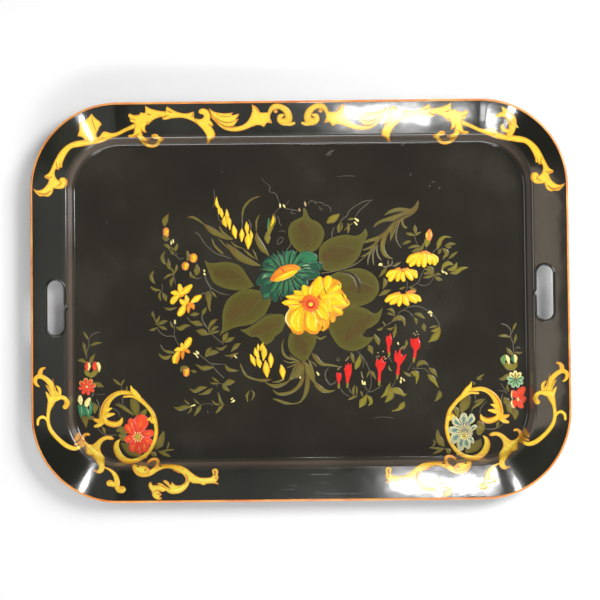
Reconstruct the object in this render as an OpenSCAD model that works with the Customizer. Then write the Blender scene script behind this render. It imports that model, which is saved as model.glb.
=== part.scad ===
// Oblong painted sheet-iron tray with rounded corners, a raised sloping border,
// an edge rolled over a steel wire and a wired hand hole in each short side.
// X runs along the long side, Y across, Z up. The origin is the middle of the
// floor's underside, on the surface that the tray rests on.

/* [Tray] */
// Overall length, over the rolled edge
tray_l = 675; // [620:5:760]
// Overall width, over the rolled edge
tray_w = 502; // [450:1:580]
// Overall height, from the underside of the floor to the top of the rolled edge
tray_h = 30; // [28:1:36]
// Radius of the outer corners
corner_r = 110; // [90:5:140]
// Thickness of the sheet
sheet_t = 0.9; // [0.8:0.05:1]

/* [Border] */
// Slope of the flat border above level
border_slope = 16; // [12:1:18]
// Distance from the outer edge to the bend between the border and the wall
knee_inset = 44; // [43:0.5:45]
// Distance from the outer edge to where the wall would meet the floor
wall_inset = 49; // [48:0.5:52]
// Radius of the bend between the border and the wall
knee_r = 4.5; // [4:0.5:6]
// Radius of the hollow between the wall and the floor
cove_r = 4.5; // [4:0.5:6]

/* [Rolled edge] */
// Diameter of the wire inside the rolled edge
rim_wire_d = 2.6; // [2:0.1:3]
// How far the sheet wraps round the wire, in degrees
rim_wrap = 292; // [270:1:296]

/* [Hand holes] */
// Length of each opening, along the side
hole_l = 68; // [60:0.5:76]
// Width of each opening, up the slope of the border
hole_w = 19.6; // [17:0.2:20]
// Distance from the outer edge to the middle of the opening
hole_inset = 29.8; // [28:0.1:30]
// Distance of each opening from the middle of its side, towards opposite ends
hole_shift = 6.5; // [0:0.5:12]
// Diameter of the wire inside the bead round each opening
hole_wire_d = 1.4; // [1.2:0.1:1.6]
// Half length of the small pointed notch in the inner side of each opening
notch_half = 6.5; // [6:0.5:8]
// Radius of the two arcs that make the notch
notch_r = 9.5; // [9:0.5:13]

/* [Hidden] */

wire_gap = 0.03;          // clearance between a wire and the sheet rolled round it
bead_drop = 0.15;         // how far the bead dips below the underside of the border
past = 1;                 // overshoot of a cutting shape
cut_depth = 6;            // height of the cut for a hand hole, each way
bend_steps = 7;           // straight steps in a bend of the sheet
curl_steps = 22;          // straight steps in the rolled edge
bead_steps = 10;          // straight steps in the section of a bead
bead_from = -70;          // where the bead's section starts, inside the border
bead_to = -374;           // where it ends, just above the border
hole_end_steps = 12;      // straight steps in the round end of a hand hole
notch_steps = 4;          // straight steps in each arc of the notch
round_fn = 96;            // smoothness of the round pieces when drawn as a mesh
wire_fn = 24;
hole_wire_sides = 12;

rim_wire_r = rim_wire_d / 2;
rim_bead_r = rim_wire_r + sheet_t;
curl_r = rim_wire_r + sheet_t / 2;

// Section of the sheet in [distance out from the outer edge, height], on its middle line
curl_c = [-rim_bead_r, tray_h - rim_bead_r];
border_end = curl_c + curl_r * [-sin(border_slope), cos(border_slope)];
knee_v = [-knee_inset, border_end[1] - (knee_inset + border_end[0]) * tan(border_slope)];
floor_v = [-wall_inset, sheet_t / 2];
wall_slope = atan2(knee_v[1] - floor_v[1], wall_inset - knee_inset);
floor_edge_inset = wall_inset + cove_r * tan(wall_slope / 2);
cove_c = [-floor_edge_inset, sheet_t / 2 + cove_r];
knee_back = knee_r * tan((wall_slope - border_slope) / 2);
knee_c = knee_v - knee_back * [cos(wall_slope), sin(wall_slope)]
         + knee_r * [sin(wall_slope), -cos(wall_slope)];

// Places of the corners' centres
corner_x = tray_l / 2 - corner_r;
corner_y = tray_w / 2 - corner_r;

// Hand holes: the middle line of the bead, and the height of the border there
hole_wire_r = hole_wire_d / 2;
hole_bead_r = hole_wire_r + sheet_t;
hole_hollow_r = hole_wire_r / cos(180 / bead_steps);
hole_path_r = hole_w / 2 + hole_bead_r;
hole_straight = hole_l - hole_w;
border_top_z = border_end[1] + sheet_t / 2 / cos(border_slope)
               - (hole_inset + border_end[0]) * tan(border_slope);
bead_lift = hole_wire_r - bead_drop;
notch_turn = asin(notch_half / notch_r);

function arc(c, r, from, to, steps) =
    [for (i = [0:steps]) let (a = from + (to - from) * i / steps) c + r * [cos(a), sin(a)]];

function reversed(list) = [for (i = [len(list) - 1:-1:0]) list[i]];

// One face of the sheet, side_off above (positive) or below its middle line
function sheet_face(side_off) = concat(
    arc(cove_c, cove_r - side_off, -90, wall_slope - 90, bend_steps),
    arc(knee_c, knee_r + side_off, wall_slope + 90, border_slope + 90, bend_steps),
    arc(curl_c, curl_r + side_off, border_slope + 90, border_slope + 90 - rim_wrap, curl_steps));

module sheet_section() {
    polygon(concat(sheet_face(sheet_t / 2), reversed(sheet_face(-sheet_t / 2))));
}

module wire_section() {
    translate(curl_c) circle(r = rim_wire_r - wire_gap, $fn = wire_fn);
}

// Takes a section, given out from the outer edge, all the way round the tray
module around_tray() {
    for (turn = [0, 180]) rotate([0, 0, turn]) {
        side_run(tray_l / 2, 2 * corner_y) children();
        rotate([0, 0, 90]) side_run(tray_w / 2, 2 * corner_x) children();
        corner(corner_x, corner_y, 0) children();
        corner(-corner_x, corner_y, 90) children();
    }
}

module side_run(edge, length) {
    translate([edge, length / 2, 0])
        rotate([90, 0, 0])
            linear_extrude(length) children();
}

module corner(x, y, turn) {
    translate([x, y, 0])
        rotate([0, 0, turn])
            rotate_extrude(angle = 90, $fn = round_fn * 2) translate([corner_r, 0]) children();
}

module floor_sheet() {
    edge_r = corner_r - floor_edge_inset;
    linear_extrude(sheet_t) {
        square([tray_l - 2 * floor_edge_inset, 2 * corner_y], center = true);
        square([2 * corner_x, tray_w - 2 * floor_edge_inset], center = true);
        for (sx = [-1, 1], sy = [-1, 1])
            translate([sx * corner_x, sy * corner_y]) circle(r = edge_r, $fn = round_fn * 2);
    }
}

// Puts a shape drawn on level ground onto the sloping border, at the middle of
// a hand hole. side is 1 for the right-hand end of the tray and -1 for the left.
module at_hole(side) {
    rotate([0, 0, side > 0 ? 0 : 180])
        translate([tray_l / 2 - hole_inset, hole_shift, border_top_z])
            rotate([0, -border_slope, 0]) children();
}

// The area inside the bead's middle line
module hole_outline() {
    square([2 * hole_path_r, hole_straight], center = true);
    for (s = [-1, 1]) translate([0, s * hole_straight / 2]) circle(r = hole_path_r, $fn = round_fn);
    difference() {
        translate([-hole_path_r - notch_r, -notch_half]) square([notch_r + past, 2 * notch_half]);
        for (s = [-1, 1])
            translate([-hole_path_r - notch_r, s * notch_half]) circle(r = notch_r, $fn = round_fn);
        translate([-hole_path_r - 2 * notch_r, -notch_half])
            square([notch_r * (1 + cos(notch_turn)), 2 * notch_half]);
    }
}

// The stations of a bead along its middle line, each [place, direction away from the hole, stretch]
function hole_end_stations(s, from) = [
    for (i = [0:hole_end_steps]) let (a = from + 180 * i / hole_end_steps, n = [cos(a), sin(a)])
        [[0, s * hole_straight / 2] + hole_path_r * n, n, 1]];

function notch_station(s, turn, stretch) = let (n = [-cos(turn), s * sin(turn)])
    [[-hole_path_r - notch_r, s * notch_half] - notch_r * n, n, stretch];

function notch_stations() = concat(
    [for (i = [0:notch_steps - 1]) notch_station(1, notch_turn * i / notch_steps, 1)],
    [[notch_station(1, notch_turn, 1)[0], [-1, 0], 1 / cos(notch_turn)]],
    [for (i = [notch_steps - 1:-1:0]) notch_station(-1, notch_turn * i / notch_steps, 1)]);

// Sweeps a closed section, a list of [away from the hole, up], along the bead's middle line
module swept_round_hole(section) {
    stations = concat(hole_end_stations(1, 0), notch_stations(), hole_end_stations(-1, 180));
    across = len(section);
    along = len(stations);
    points = [for (st = stations, q = section)
        [st[0][0] + st[1][0] * st[2] * q[0], st[0][1] + st[1][1] * st[2] * q[0], bead_lift + q[1]]];
    corner = function (i, j) (i % along) * across + j % across;
    polyhedron(points, [for (i = [0:along - 1], j = [0:across - 1], half = [0, 1])
        half == 0 ? [corner(i, j), corner(i + 1, j), corner(i + 1, j + 1)]
                  : [corner(i, j), corner(i + 1, j + 1), corner(i, j + 1)]]);
}

// The sheet's edge, turned up and rolled round the hand hole's wire
module bead_round_hole() {
    swept_round_hole(concat(
        arc([0, 0], hole_bead_r, bead_from, bead_to, bead_steps),
        reversed(arc([0, 0], hole_hollow_r, bead_from, bead_to, bead_steps))));
}

module wire_round_hole() {
    swept_round_hole(arc([0, 0], hole_wire_r - wire_gap, 0, 360 / hole_wire_sides - 360,
                         hole_wire_sides - 1));
}

// The pressed sheet: floor, wall, border, rolled edge and the beads of both hand holes
module tray_pan() {
    color([0.14, 0.13, 0.11]) {
        difference() {
            union() {
                floor_sheet();
                around_tray() sheet_section();
            }
            for (side = [-1, 1]) at_hole(side)
                translate([0, 0, -cut_depth]) linear_extrude(2 * cut_depth) hole_outline();
        }
        for (side = [-1, 1]) at_hole(side) bead_round_hole();
    }
}

// The wire inside the rolled edge, closed all round
module rim_wire() {
    color([0.55, 0.54, 0.52]) around_tray() wire_section();
}

// The closed wire inside the bead of the left-hand hole
module hand_hole_wire_left() {
    color([0.55, 0.54, 0.52]) at_hole(-1) wire_round_hole();
}

// The closed wire inside the bead of the right-hand hole
module hand_hole_wire_right() {
    color([0.55, 0.54, 0.52]) at_hole(1) wire_round_hole();
}

tray_pan();
rim_wire();
hand_hole_wire_left();
hand_hole_wire_right();
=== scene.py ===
import math
import random

import bpy
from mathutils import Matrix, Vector, geometry


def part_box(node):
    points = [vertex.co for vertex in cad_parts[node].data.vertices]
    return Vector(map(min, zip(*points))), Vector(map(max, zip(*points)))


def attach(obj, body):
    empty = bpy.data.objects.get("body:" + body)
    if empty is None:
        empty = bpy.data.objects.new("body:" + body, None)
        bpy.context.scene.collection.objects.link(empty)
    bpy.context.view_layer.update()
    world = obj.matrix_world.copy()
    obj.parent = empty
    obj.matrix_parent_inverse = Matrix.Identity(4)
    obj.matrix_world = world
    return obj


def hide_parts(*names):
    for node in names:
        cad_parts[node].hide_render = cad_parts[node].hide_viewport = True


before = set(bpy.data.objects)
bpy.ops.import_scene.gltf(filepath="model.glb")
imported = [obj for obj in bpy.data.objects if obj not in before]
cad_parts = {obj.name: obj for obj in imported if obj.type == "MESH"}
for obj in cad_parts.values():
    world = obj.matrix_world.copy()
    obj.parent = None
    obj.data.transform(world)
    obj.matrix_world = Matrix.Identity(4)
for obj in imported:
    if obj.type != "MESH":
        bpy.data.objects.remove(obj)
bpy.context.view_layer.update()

MM = 0.001

# ---------------------------------------------------------------- tray sizes, in millimetres
pan_low, pan_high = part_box("tray_pan")
TRAY_L = (pan_high[0] - pan_low[0]) / MM
TRAY_W = (pan_high[1] - pan_low[1]) / MM
TRAY_H = pan_high[2] / MM
HALF_L = TRAY_L / 2
HALF_W = TRAY_W / 2
CORNER_R = 110.0
SHEET_T = 0.9
BORDER_SLOPE = math.radians(16.0)
KNEE_INSET = 44.0
WALL_INSET = 49.0
KNEE_R = 4.5
COVE_R = 4.5
# The rolled edge is drawn this much smaller than the CAD's, to leave room for its paint
COAT_ROOM = 0.15
BEAD_R = 2.2 - COAT_ROOM
RIM_WRAP = math.radians(292.0)
CORNER_X = HALF_L - CORNER_R
CORNER_Y = HALF_W - CORNER_R

HOLE_L = 68.0
HOLE_W = 19.6
HOLE_INSET = 29.8
HOLE_SHIFT = 6.5
HOLE_BEAD_R = 1.6
HOLE_BEAD_LIFT = 0.55
HOLE_CUT_DEPTH = 7.0
NOTCH_HALF = 6.5
NOTCH_R = 9.5

random.seed(7)


# ---------------------------------------------------------------- section of the sheet
def arc(centre, radius, start, end, steps):
    points = []
    for i in range(steps + 1):
        a = start + (end - start) * i / steps
        points.append((centre[0] + radius * math.cos(a), centre[1] + radius * math.sin(a)))
    return points


def sheet_numbers():
    """The bends of the sheet's middle line, in [distance out from the outer edge, height]."""
    half = SHEET_T / 2
    curl_r = BEAD_R - half
    curl = (-BEAD_R - COAT_ROOM, TRAY_H - BEAD_R - COAT_ROOM)
    start = (curl[0] - curl_r * math.sin(BORDER_SLOPE), curl[1] + curl_r * math.cos(BORDER_SLOPE))
    knee = (-KNEE_INSET, start[1] - (KNEE_INSET + start[0]) * math.tan(BORDER_SLOPE))
    slope = math.atan2(knee[1] - half, WALL_INSET - KNEE_INSET)
    back = KNEE_R * math.tan((slope - BORDER_SLOPE) / 2)
    knee_c = (knee[0] - back * math.cos(slope) + KNEE_R * math.sin(slope),
              knee[1] - back * math.sin(slope) - KNEE_R * math.cos(slope))
    edge_inset = WALL_INSET + COVE_R * math.tan(slope / 2)
    cove_c = (-edge_inset, half + COVE_R)
    return curl, curl_r, knee_c, cove_c, slope, edge_inset, start


CURL_C, CURL_R, KNEE_C, COVE_C, WALL_SLOPE, FLOOR_INSET, BORDER_START = sheet_numbers()
QUARTER = math.pi / 2


def sheet_face(side_off, bend_steps, curl_steps):
    """One face of the sheet, from the floor's edge out to the end of the rolled edge."""
    cove = arc(COVE_C, COVE_R - side_off, -QUARTER, WALL_SLOPE - QUARTER, bend_steps)
    knee = arc(KNEE_C, KNEE_R + side_off, WALL_SLOPE + QUARTER, BORDER_SLOPE + QUARTER, bend_steps)
    top = BORDER_SLOPE + QUARTER
    curl = arc(CURL_C, CURL_R + side_off, top, top - RIM_WRAP, curl_steps)
    return cove + knee + curl


TOP_FACE = [q for q in sheet_face(SHEET_T / 2, 16, 40) if q[0] < -BEAD_R - COAT_ROOM]


def top_height(inset):
    """Height of the painted face at a distance in from the outer edge, and its slope."""
    out = -inset
    if out <= TOP_FACE[0][0]:
        return SHEET_T, 0.0
    for (u0, z0), (u1, z1) in zip(TOP_FACE, TOP_FACE[1:]):
        if out <= u1:
            slope = (z1 - z0) / max(u1 - u0, 1e-6)
            t = (out - u0) / max(u1 - u0, 1e-6)
            return z0 + (z1 - z0) * t, slope
    return TOP_FACE[-1][1], 0.0


def inset_at(x, y):
    """Distance in from the outer edge, and the outward direction."""
    qx = abs(x) - CORNER_X
    qy = abs(y) - CORNER_Y
    sx = 1 if x >= 0 else -1
    sy = 1 if y >= 0 else -1
    if qx > 0 and qy > 0:
        r = math.hypot(qx, qy)
        return CORNER_R - r, (sx * qx / r, sy * qy / r)
    if qx > qy:
        return CORNER_R - qx, (sx, 0)
    return CORNER_R - qy, (0, sy)


def on_tray(x, y, lift):
    """The place, in metres, that lies lift millimetres above the painted face at x, y."""
    inset, out = inset_at(x, y)
    z, slope = top_height(inset)
    n = math.sqrt(1 + slope * slope)
    shift = -lift * slope / n
    return ((x + out[0] * shift) * MM, (y + out[1] * shift) * MM, (z + lift / n) * MM)


# ---------------------------------------------------------------- meshes
def new_piece(name, verts, faces, material):
    mesh = bpy.data.meshes.new(name)
    mesh.from_pydata(verts, [], faces)
    mesh.validate()
    mesh.polygons.foreach_set("use_smooth", [True] * len(mesh.polygons))
    piece = bpy.data.objects.new(name, mesh)
    bpy.context.collection.objects.link(piece)
    piece.data.materials.append(material)
    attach(piece, "root")
    return piece


def outline_stations(steps=44):
    """Stations round the tray: the corner centre and the outward direction of each."""
    stations = []
    for k, (sx, sy) in enumerate(((1, 1), (-1, 1), (-1, -1), (1, -1))):
        for i in range(steps + 1):
            a = QUARTER * (k + i / steps)
            stations.append((sx * CORNER_X, sy * CORNER_Y, math.cos(a), math.sin(a)))
    return stations


def sweep_round_tray(section):
    """Takes an open section, in [distance out, height], all the way round the tray."""
    stations = outline_stations()
    verts = []
    for cx, cy, dx, dy in stations:
        for u, z in section:
            r = CORNER_R + u
            verts.append(((cx + dx * r) * MM, (cy + dy * r) * MM, z * MM))
    across = len(section)
    faces = []
    for i in range(len(stations)):
        j = (i + 1) % len(stations)
        for k in range(across - 1):
            faces.append((i * across + k, j * across + k, j * across + k + 1, i * across + k + 1))
    return verts, faces


# ---------------------------------------------------------------- materials
def srgb(r, g, b):
    """A colour as the eye names it, 0 to 255, in the shader's linear numbers."""
    linear = []
    for c in (r, g, b):
        c /= 255
        linear.append(c / 12.92 if c <= 0.04045 else ((c + 0.055) / 1.055) ** 2.4)
    return (*linear, 1.0)


# Sockets of a Mix node that mixes colours
MIX_FACTOR, MIX_A, MIX_B, MIX_RESULT = 0, 6, 7, 2


class Nodes:
    """A material and short ways to add nodes to it."""

    def __init__(self, name):
        self.material = bpy.data.materials.new(name)
        self.material.use_nodes = True
        self.tree = self.material.node_tree
        self.shader = self.tree.nodes["Principled BSDF"]

    def add(self, kind, **settings):
        node = self.tree.nodes.new(kind)
        for key, value in settings.items():
            setattr(node, key, value)
        return node

    def link(self, source, target):
        self.tree.links.new(source, target)

    def set(self, **values):
        for key, value in values.items():
            self.shader.inputs[key.replace("_", " ")].default_value = value

    def noise(self, vector, scale, detail=4.0, rough=0.55):
        node = self.add("ShaderNodeTexNoise")
        node.inputs["Scale"].default_value = scale
        node.inputs["Detail"].default_value = detail
        node.inputs["Roughness"].default_value = rough
        self.link(vector, node.inputs["Vector"])
        return node.outputs["Fac"]

    def ramp(self, value, stops):
        node = self.add("ShaderNodeValToRGB")
        elements = node.color_ramp.elements
        while len(elements) < len(stops):
            elements.new(0.5)
        for element, (place, colour) in zip(elements, stops):
            element.position = place
            element.color = colour
        self.link(value, node.inputs["Fac"])
        return node.outputs["Color"]

    def span(self, value, low, high):
        """Spreads a 0 to 1 value over low to high."""
        node = self.add("ShaderNodeMapRange")
        node.inputs["To Min"].default_value = low
        node.inputs["To Max"].default_value = high
        self.link(value, node.inputs["Value"])
        return node.outputs["Result"]

    def math(self, operation, a, b):
        node = self.add("ShaderNodeMath", operation=operation)
        for socket, value in zip(node.inputs, (a, b)):
            if isinstance(value, (int, float)):
                socket.default_value = value
            else:
                self.link(value, socket)
        return node.outputs["Value"]

    def multiply(self, a, b):
        node = self.add("ShaderNodeMix", data_type="RGBA", blend_type="MULTIPLY")
        node.inputs["Factor"].default_value = 1.0
        self.link(a, node.inputs["A"])
        self.link(b, node.inputs["B"])
        return node.outputs["Result"]

    def stretched(self, vector, scale):
        node = self.add("ShaderNodeMapping")
        node.inputs["Scale"].default_value = scale
        self.link(vector, node.inputs["Vector"])
        return node.outputs["Vector"]

    def bump(self, height, distance, strength, after=None):
        node = self.add("ShaderNodeBump")
        node.inputs["Distance"].default_value = distance
        node.inputs["Strength"].default_value = strength
        self.link(height, node.inputs["Height"])
        if after is not None:
            self.link(after, node.inputs["Normal"])
        return node.outputs["Normal"]


def scratches(m, place, turn, scale):
    """Fine hairline scratches that all run roughly one way, 0 to 1."""
    turned = m.add("ShaderNodeMapping")
    turned.inputs["Rotation"].default_value = (0, 0, turn)
    turned.inputs["Scale"].default_value = (scale * 0.02, scale, scale)
    m.link(place, turned.inputs["Vector"])
    lines = m.noise(turned.outputs["Vector"], 1.0, 2.0)
    return m.ramp(lines, [(0.69, (0, 0, 0, 1)), (0.74, (1, 1, 1, 1))])


def black_lacquer():
    """Warm black lacquer, polished, with slight waves, hairlines and dust specks; the steep wall carries a
    painted reflection in a lighter warm brown, and is made duller.
    """
    m = Nodes("black_lacquer")
    place = m.add("ShaderNodeTexCoord").outputs["Object"]
    cloud = m.noise(place, 9.0, 5.0)
    base = m.ramp(cloud, [(0.35, srgb(18, 18, 10)), (0.52, srgb(24, 24, 15)), (0.7, srgb(38, 39, 31))])
    height = m.add("ShaderNodeSeparateXYZ")
    m.link(place, height.inputs["Vector"])
    # on_wall picks out the steep wall between the floor and the border by height; it gets a painted
    # reflection there (a lighter warm brown) and a higher roughness
    on_wall = m.ramp(height.outputs["Z"], [(0.0022, (0, 0, 0, 1)), (0.006, (0.8, 0.8, 0.8, 1)),
                                           (0.0145, (1, 1, 1, 1)), (0.0178, (0, 0, 0, 1))])
    wear_and_sheen_mix = m.add("ShaderNodeMix", data_type="RGBA")
    m.link(on_wall, wear_and_sheen_mix.inputs[MIX_FACTOR])
    m.link(base, wear_and_sheen_mix.inputs[MIX_A])
    # painted reflection: the lighter warm brown laid on the steep wall
    painted_wall_sheen = m.ramp(cloud, [(0.3, srgb(98, 86, 76)), (0.8, srgb(126, 112, 100))])
    m.link(painted_wall_sheen, wear_and_sheen_mix.inputs[MIX_B])
    specks = m.noise(place, 900.0, 2.0)
    dust = m.ramp(specks, [(0.72, (1, 1, 1, 1)), (0.8, (2.2, 2.1, 2.0, 1))])
    m.link(m.multiply(wear_and_sheen_mix.outputs[MIX_RESULT], dust), m.shader.inputs["Base Color"])
    hair = m.math("MAXIMUM", scratches(m, place, 0.5, 500.0), scratches(m, place, -0.8, 420.0))
    dull = m.noise(place, 22.0, 6.0, 0.7)
    rough = m.math("ADD", m.span(dull, 0.04, 0.13), m.math("MULTIPLY", hair, 0.05))
    rough = m.math("ADD", rough, m.math("MULTIPLY", on_wall, 0.3))
    m.link(rough, m.shader.inputs["Roughness"])
    m.set(IOR=1.5, Coat_Weight=0.6, Coat_Roughness=0.04)
    waves = m.bump(m.noise(place, 26.0, 2.0), 0.0006, 0.16)
    fine = m.bump(hair, 0.00002, 0.5, waves)
    m.link(fine, m.shader.inputs["Normal"])
    m.link(waves, m.shader.inputs["Coat Normal"])
    return m.material


def brush_paint():
    """Oil paint laid on with a soft brush: the stroke's own colours, streaked along the stroke."""
    m = Nodes("brush_paint")
    colour = m.add("ShaderNodeAttribute", attribute_name="paint").outputs["Color"]
    brush = m.add("ShaderNodeAttribute", attribute_name="brush").outputs["Vector"]
    streak = m.noise(m.stretched(brush, (0.12, 1.5, 1.0)), 1.0, 3.0)
    pools = m.noise(m.stretched(brush, (0.35, 0.5, 1.0)), 1.0, 2.0)
    shade = m.ramp(streak, [(0.25, (0.78, 0.76, 0.72, 1)), (0.7, (1.08, 1.08, 1.08, 1))])
    depth = m.ramp(pools, [(0.3, (0.9, 0.88, 0.84, 1)), (0.75, (1.05, 1.05, 1.05, 1))])
    m.link(m.multiply(m.multiply(colour, shade), depth), m.shader.inputs["Base Color"])
    m.link(m.span(streak, 0.24, 0.42), m.shader.inputs["Roughness"])
    m.set(Coat_Weight=0.6, Coat_Roughness=0.07)
    m.link(m.bump(streak, 0.0001, 0.25), m.shader.inputs["Normal"])
    return m.material


def edge_paint():
    """The orange-gold line painted along the rolled edge, a little thin and rubbed in places."""
    m = Nodes("edge_paint")
    place = m.add("ShaderNodeTexCoord").outputs["Object"]
    tone = m.noise(place, 30.0, 4.0)
    colour = m.ramp(tone, [(0.3, srgb(214, 112, 40)), (0.5, srgb(236, 146, 58)), (0.72, srgb(246, 178, 84))])
    wear = m.noise(place, 240.0, 4.0, 0.65)
    wear_and_sheen_mix = m.ramp(wear, [(0.27, (0.35, 0.3, 0.28, 1)), (0.34, (1, 1, 1, 1))])
    m.link(m.multiply(colour, wear_and_sheen_mix), m.shader.inputs["Base Color"])
    m.link(m.span(tone, 0.25, 0.45), m.shader.inputs["Roughness"])
    m.set(Coat_Weight=0.4, Coat_Roughness=0.15)
    m.link(m.bump(wear, 0.00008, 0.5), m.shader.inputs["Normal"])
    return m.material


def steel_wire():
    """Drawn steel wire with fine lengthways lines and a little rust bloom."""
    m = Nodes("steel_wire")
    place = m.add("ShaderNodeTexCoord").outputs["Object"]
    bloom = m.noise(place, 60.0, 5.0)
    colour = m.ramp(bloom, [(0.45, srgb(120, 118, 114)), (0.7, srgb(104, 78, 58))])
    m.link(colour, m.shader.inputs["Base Color"])
    m.link(m.span(bloom, 0.3, 0.6), m.shader.inputs["Roughness"])
    m.set(Metallic=1.0)
    m.link(m.bump(m.noise(place, 1500.0), 0.00003, 0.4), m.shader.inputs["Normal"])
    return m.material


LACQUER = black_lacquer()
PAINT = brush_paint()
EDGE_PAINT = edge_paint()
WIRE = steel_wire()


# ---------------------------------------------------------------- the pressed sheet
def held(face, flat_length=20.0, margin=0.5):
    """Adds points close to the ends of the flat border, so that the flat stays flat when shaded."""
    points = []
    for a, b in zip(face, face[1:]):
        points.append(a)
        length = math.dist(a, b)
        if length > flat_length:
            for share in (margin / length, 1 - margin / length):
                points.append((a[0] + (b[0] - a[0]) * share, a[1] + (b[1] - a[1]) * share))
    return points + [face[-1]]


def tray_skin(bend_steps=12, curl_steps=34, floor_margin=0.5):
    """Both faces of the sheet as one closed mesh, before the hand holes are cut."""
    top = held(sheet_face(SHEET_T / 2, bend_steps, curl_steps))
    under = held(sheet_face(-SHEET_T / 2, bend_steps, curl_steps))
    top_start = (top[0][0] - floor_margin, top[0][1])
    under_start = (under[0][0] - floor_margin, under[0][1])
    section = [top_start] + top + under[::-1] + [under_start]
    verts, faces = sweep_round_tray(section)
    across = len(section)
    rows = range(len(verts) // across)
    faces.append([i * across for i in rows])
    faces.append([(i + 1) * across - 1 for i in reversed(rows)])
    skin = new_piece("tray_skin", verts, faces, LACQUER)
    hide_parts("tray_pan")
    return skin


def hole_frame(side):
    """The middle of a hand hole and the directions out along the border, along the side and up."""
    x = side * (HALF_L - HOLE_INSET)
    y = side * HOLE_SHIFT
    inset, _ = inset_at(x, y)
    z, slope = top_height(inset)
    tilt = math.atan(slope)
    outward = Vector((side * math.cos(tilt), 0, math.sin(tilt)))
    up = Vector((-side * math.sin(tilt), 0, math.cos(tilt)))
    return Vector((x, y, z)), outward, Vector((0, side, 0)), up


def hole_path(end_steps=20, notch_steps=8):
    """The bead's middle line in [out, along], with the direction away from the hole and a stretch."""
    r = HOLE_W / 2 + HOLE_BEAD_R
    straight = (HOLE_L - HOLE_W) / 2
    turn = math.asin(NOTCH_HALF / NOTCH_R)
    path = []
    for end in (1, -1):
        for i in range(end_steps + 1):
            a = math.pi * i / end_steps + (0 if end > 0 else math.pi)
            n = (math.cos(a), math.sin(a))
            path.append((r * n[0], end * straight + r * n[1], n[0], n[1], 1.0))
        if end < 0:
            continue
        for s in (1, -1):
            for i in range(notch_steps + 1):
                a = turn * (i if s > 0 else notch_steps - i) / notch_steps
                if s > 0 and i == notch_steps:
                    continue
                n = (-math.cos(a), s * math.sin(a))
                centre = (-r - NOTCH_R, s * NOTCH_HALF)
                if s < 0 and i == 0:
                    path.append((centre[0] + NOTCH_R * math.cos(turn), 0, -1, 0, 1 / math.cos(turn)))
                else:
                    path.append((centre[0] - NOTCH_R * n[0], centre[1] - NOTCH_R * n[1], n[0], n[1], 1.0))
    return path


def cut_hand_hole(skin, side):
    """Cuts the sheet along the middle line of the bead."""
    middle, outward, along, up = hole_frame(side)
    path = hole_path()
    verts = []
    for level in (-HOLE_CUT_DEPTH, HOLE_CUT_DEPTH):
        for u, v, _, _, _ in path:
            p = middle + outward * u + along * v + up * level
            verts.append(tuple(p * MM))
    n = len(path)
    faces = [[i, (i + 1) % n, n + (i + 1) % n, n + i] for i in range(n)]
    faces.append(list(range(n))[::-1])
    faces.append(list(range(n, 2 * n)))
    mesh = bpy.data.meshes.new("hole_cutter")
    mesh.from_pydata(verts, [], faces)
    cutter = bpy.data.objects.new("hole_cutter", mesh)
    bpy.context.collection.objects.link(cutter)
    cut = skin.modifiers.new("cut", "BOOLEAN")
    cut.operation = "DIFFERENCE"
    cut.solver = "EXACT"
    cut.object = cutter
    result = bpy.data.meshes.new_from_object(skin.evaluated_get(bpy.context.evaluated_depsgraph_get()))
    skin.modifiers.remove(cut)
    skin.data = result
    bpy.data.objects.remove(cutter)


def soften_edges(piece, sharpest=math.radians(40)):
    piece.data.set_sharp_from_angle(angle=sharpest)
    smooth = piece.modifiers.new("smooth", "WEIGHTED_NORMAL")
    smooth.keep_sharp = True


def hand_hole_bead(name, side, steps=16):
    """The edge of the sheet, turned up and rolled round the hand hole."""
    middle, outward, along, up = hole_frame(side)
    ring = []
    for i in range(steps):
        a = 2 * math.pi * i / steps
        ring.append((HOLE_BEAD_R * math.cos(a), HOLE_BEAD_LIFT + HOLE_BEAD_R * math.sin(a)))
    verts = []
    for u, v, nu, nv, stretch in hole_path():
        for r, h in ring:
            p = middle + outward * (u + nu * r * stretch) + along * (v + nv * r * stretch) + up * h
            verts.append(tuple(p * MM))
    n = len(verts) // steps
    faces = []
    for i in range(n):
        for k in range(steps):
            j = (i + 1) % n
            m = (k + 1) % steps
            faces.append((i * steps + k, j * steps + k, j * steps + m, i * steps + m))
    return new_piece(name, verts, faces, LACQUER)


def edge_line(start=math.radians(112), end=math.radians(-25), paint=0.05):
    """The painted line that follows the rolled edge."""
    line = arc(CURL_C, BEAD_R + paint, start, end, 16)
    sunk = arc(CURL_C, BEAD_R - paint, start, end, 1)
    section = [sunk[0]] + line + [sunk[1]]
    verts, faces = sweep_round_tray(section)
    return new_piece("edge_line", verts, [f[::-1] for f in faces], EDGE_PAINT)


# ---------------------------------------------------------------- brush strokes
def catmull(points, step):
    """A smooth curve through points of any size, as close points about step millimetres apart."""
    n = len(points)
    curve = []
    for i in range(n - 1):
        p0, p1, p2, p3 = (points[min(max(i + k, 0), n - 1)] for k in (-1, 0, 1, 2))
        count = max(2, round(math.dist(p1[:2], p2[:2]) / step))
        for j in range(count):
            t = j / count
            curve.append([0.5 * (2 * b + (c - a) * t + (2 * a - 5 * b + 4 * c - d) * t * t
                                 + (3 * b - a - 3 * c + d) * t ** 3)
                          for a, b, c, d in zip(p0, p1, p2, p3)])
    curve.append(list(points[-1]))
    return curve


def mix(a, b, share):
    share = min(max(share, 0.0), 1.0)
    return tuple(x + (y - x) * share for x, y in zip(a, b))


# Places across a stroke, from one rim (-1) to the other (1)
ACROSS = (-1.0, -0.94, -0.66, -0.33, 0.0, 0.33, 0.66, 0.94, 1.0)
# Heights in millimetres: each stroke over the one before, the middle of a stroke over its
# rims, the rims below the lacquer, and the drop at the edge of a filled shape
LAYER_STEP = 0.0025
CROWN = 0.006
SUNK = -0.03
SHAPE_DROP = 0.004
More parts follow.
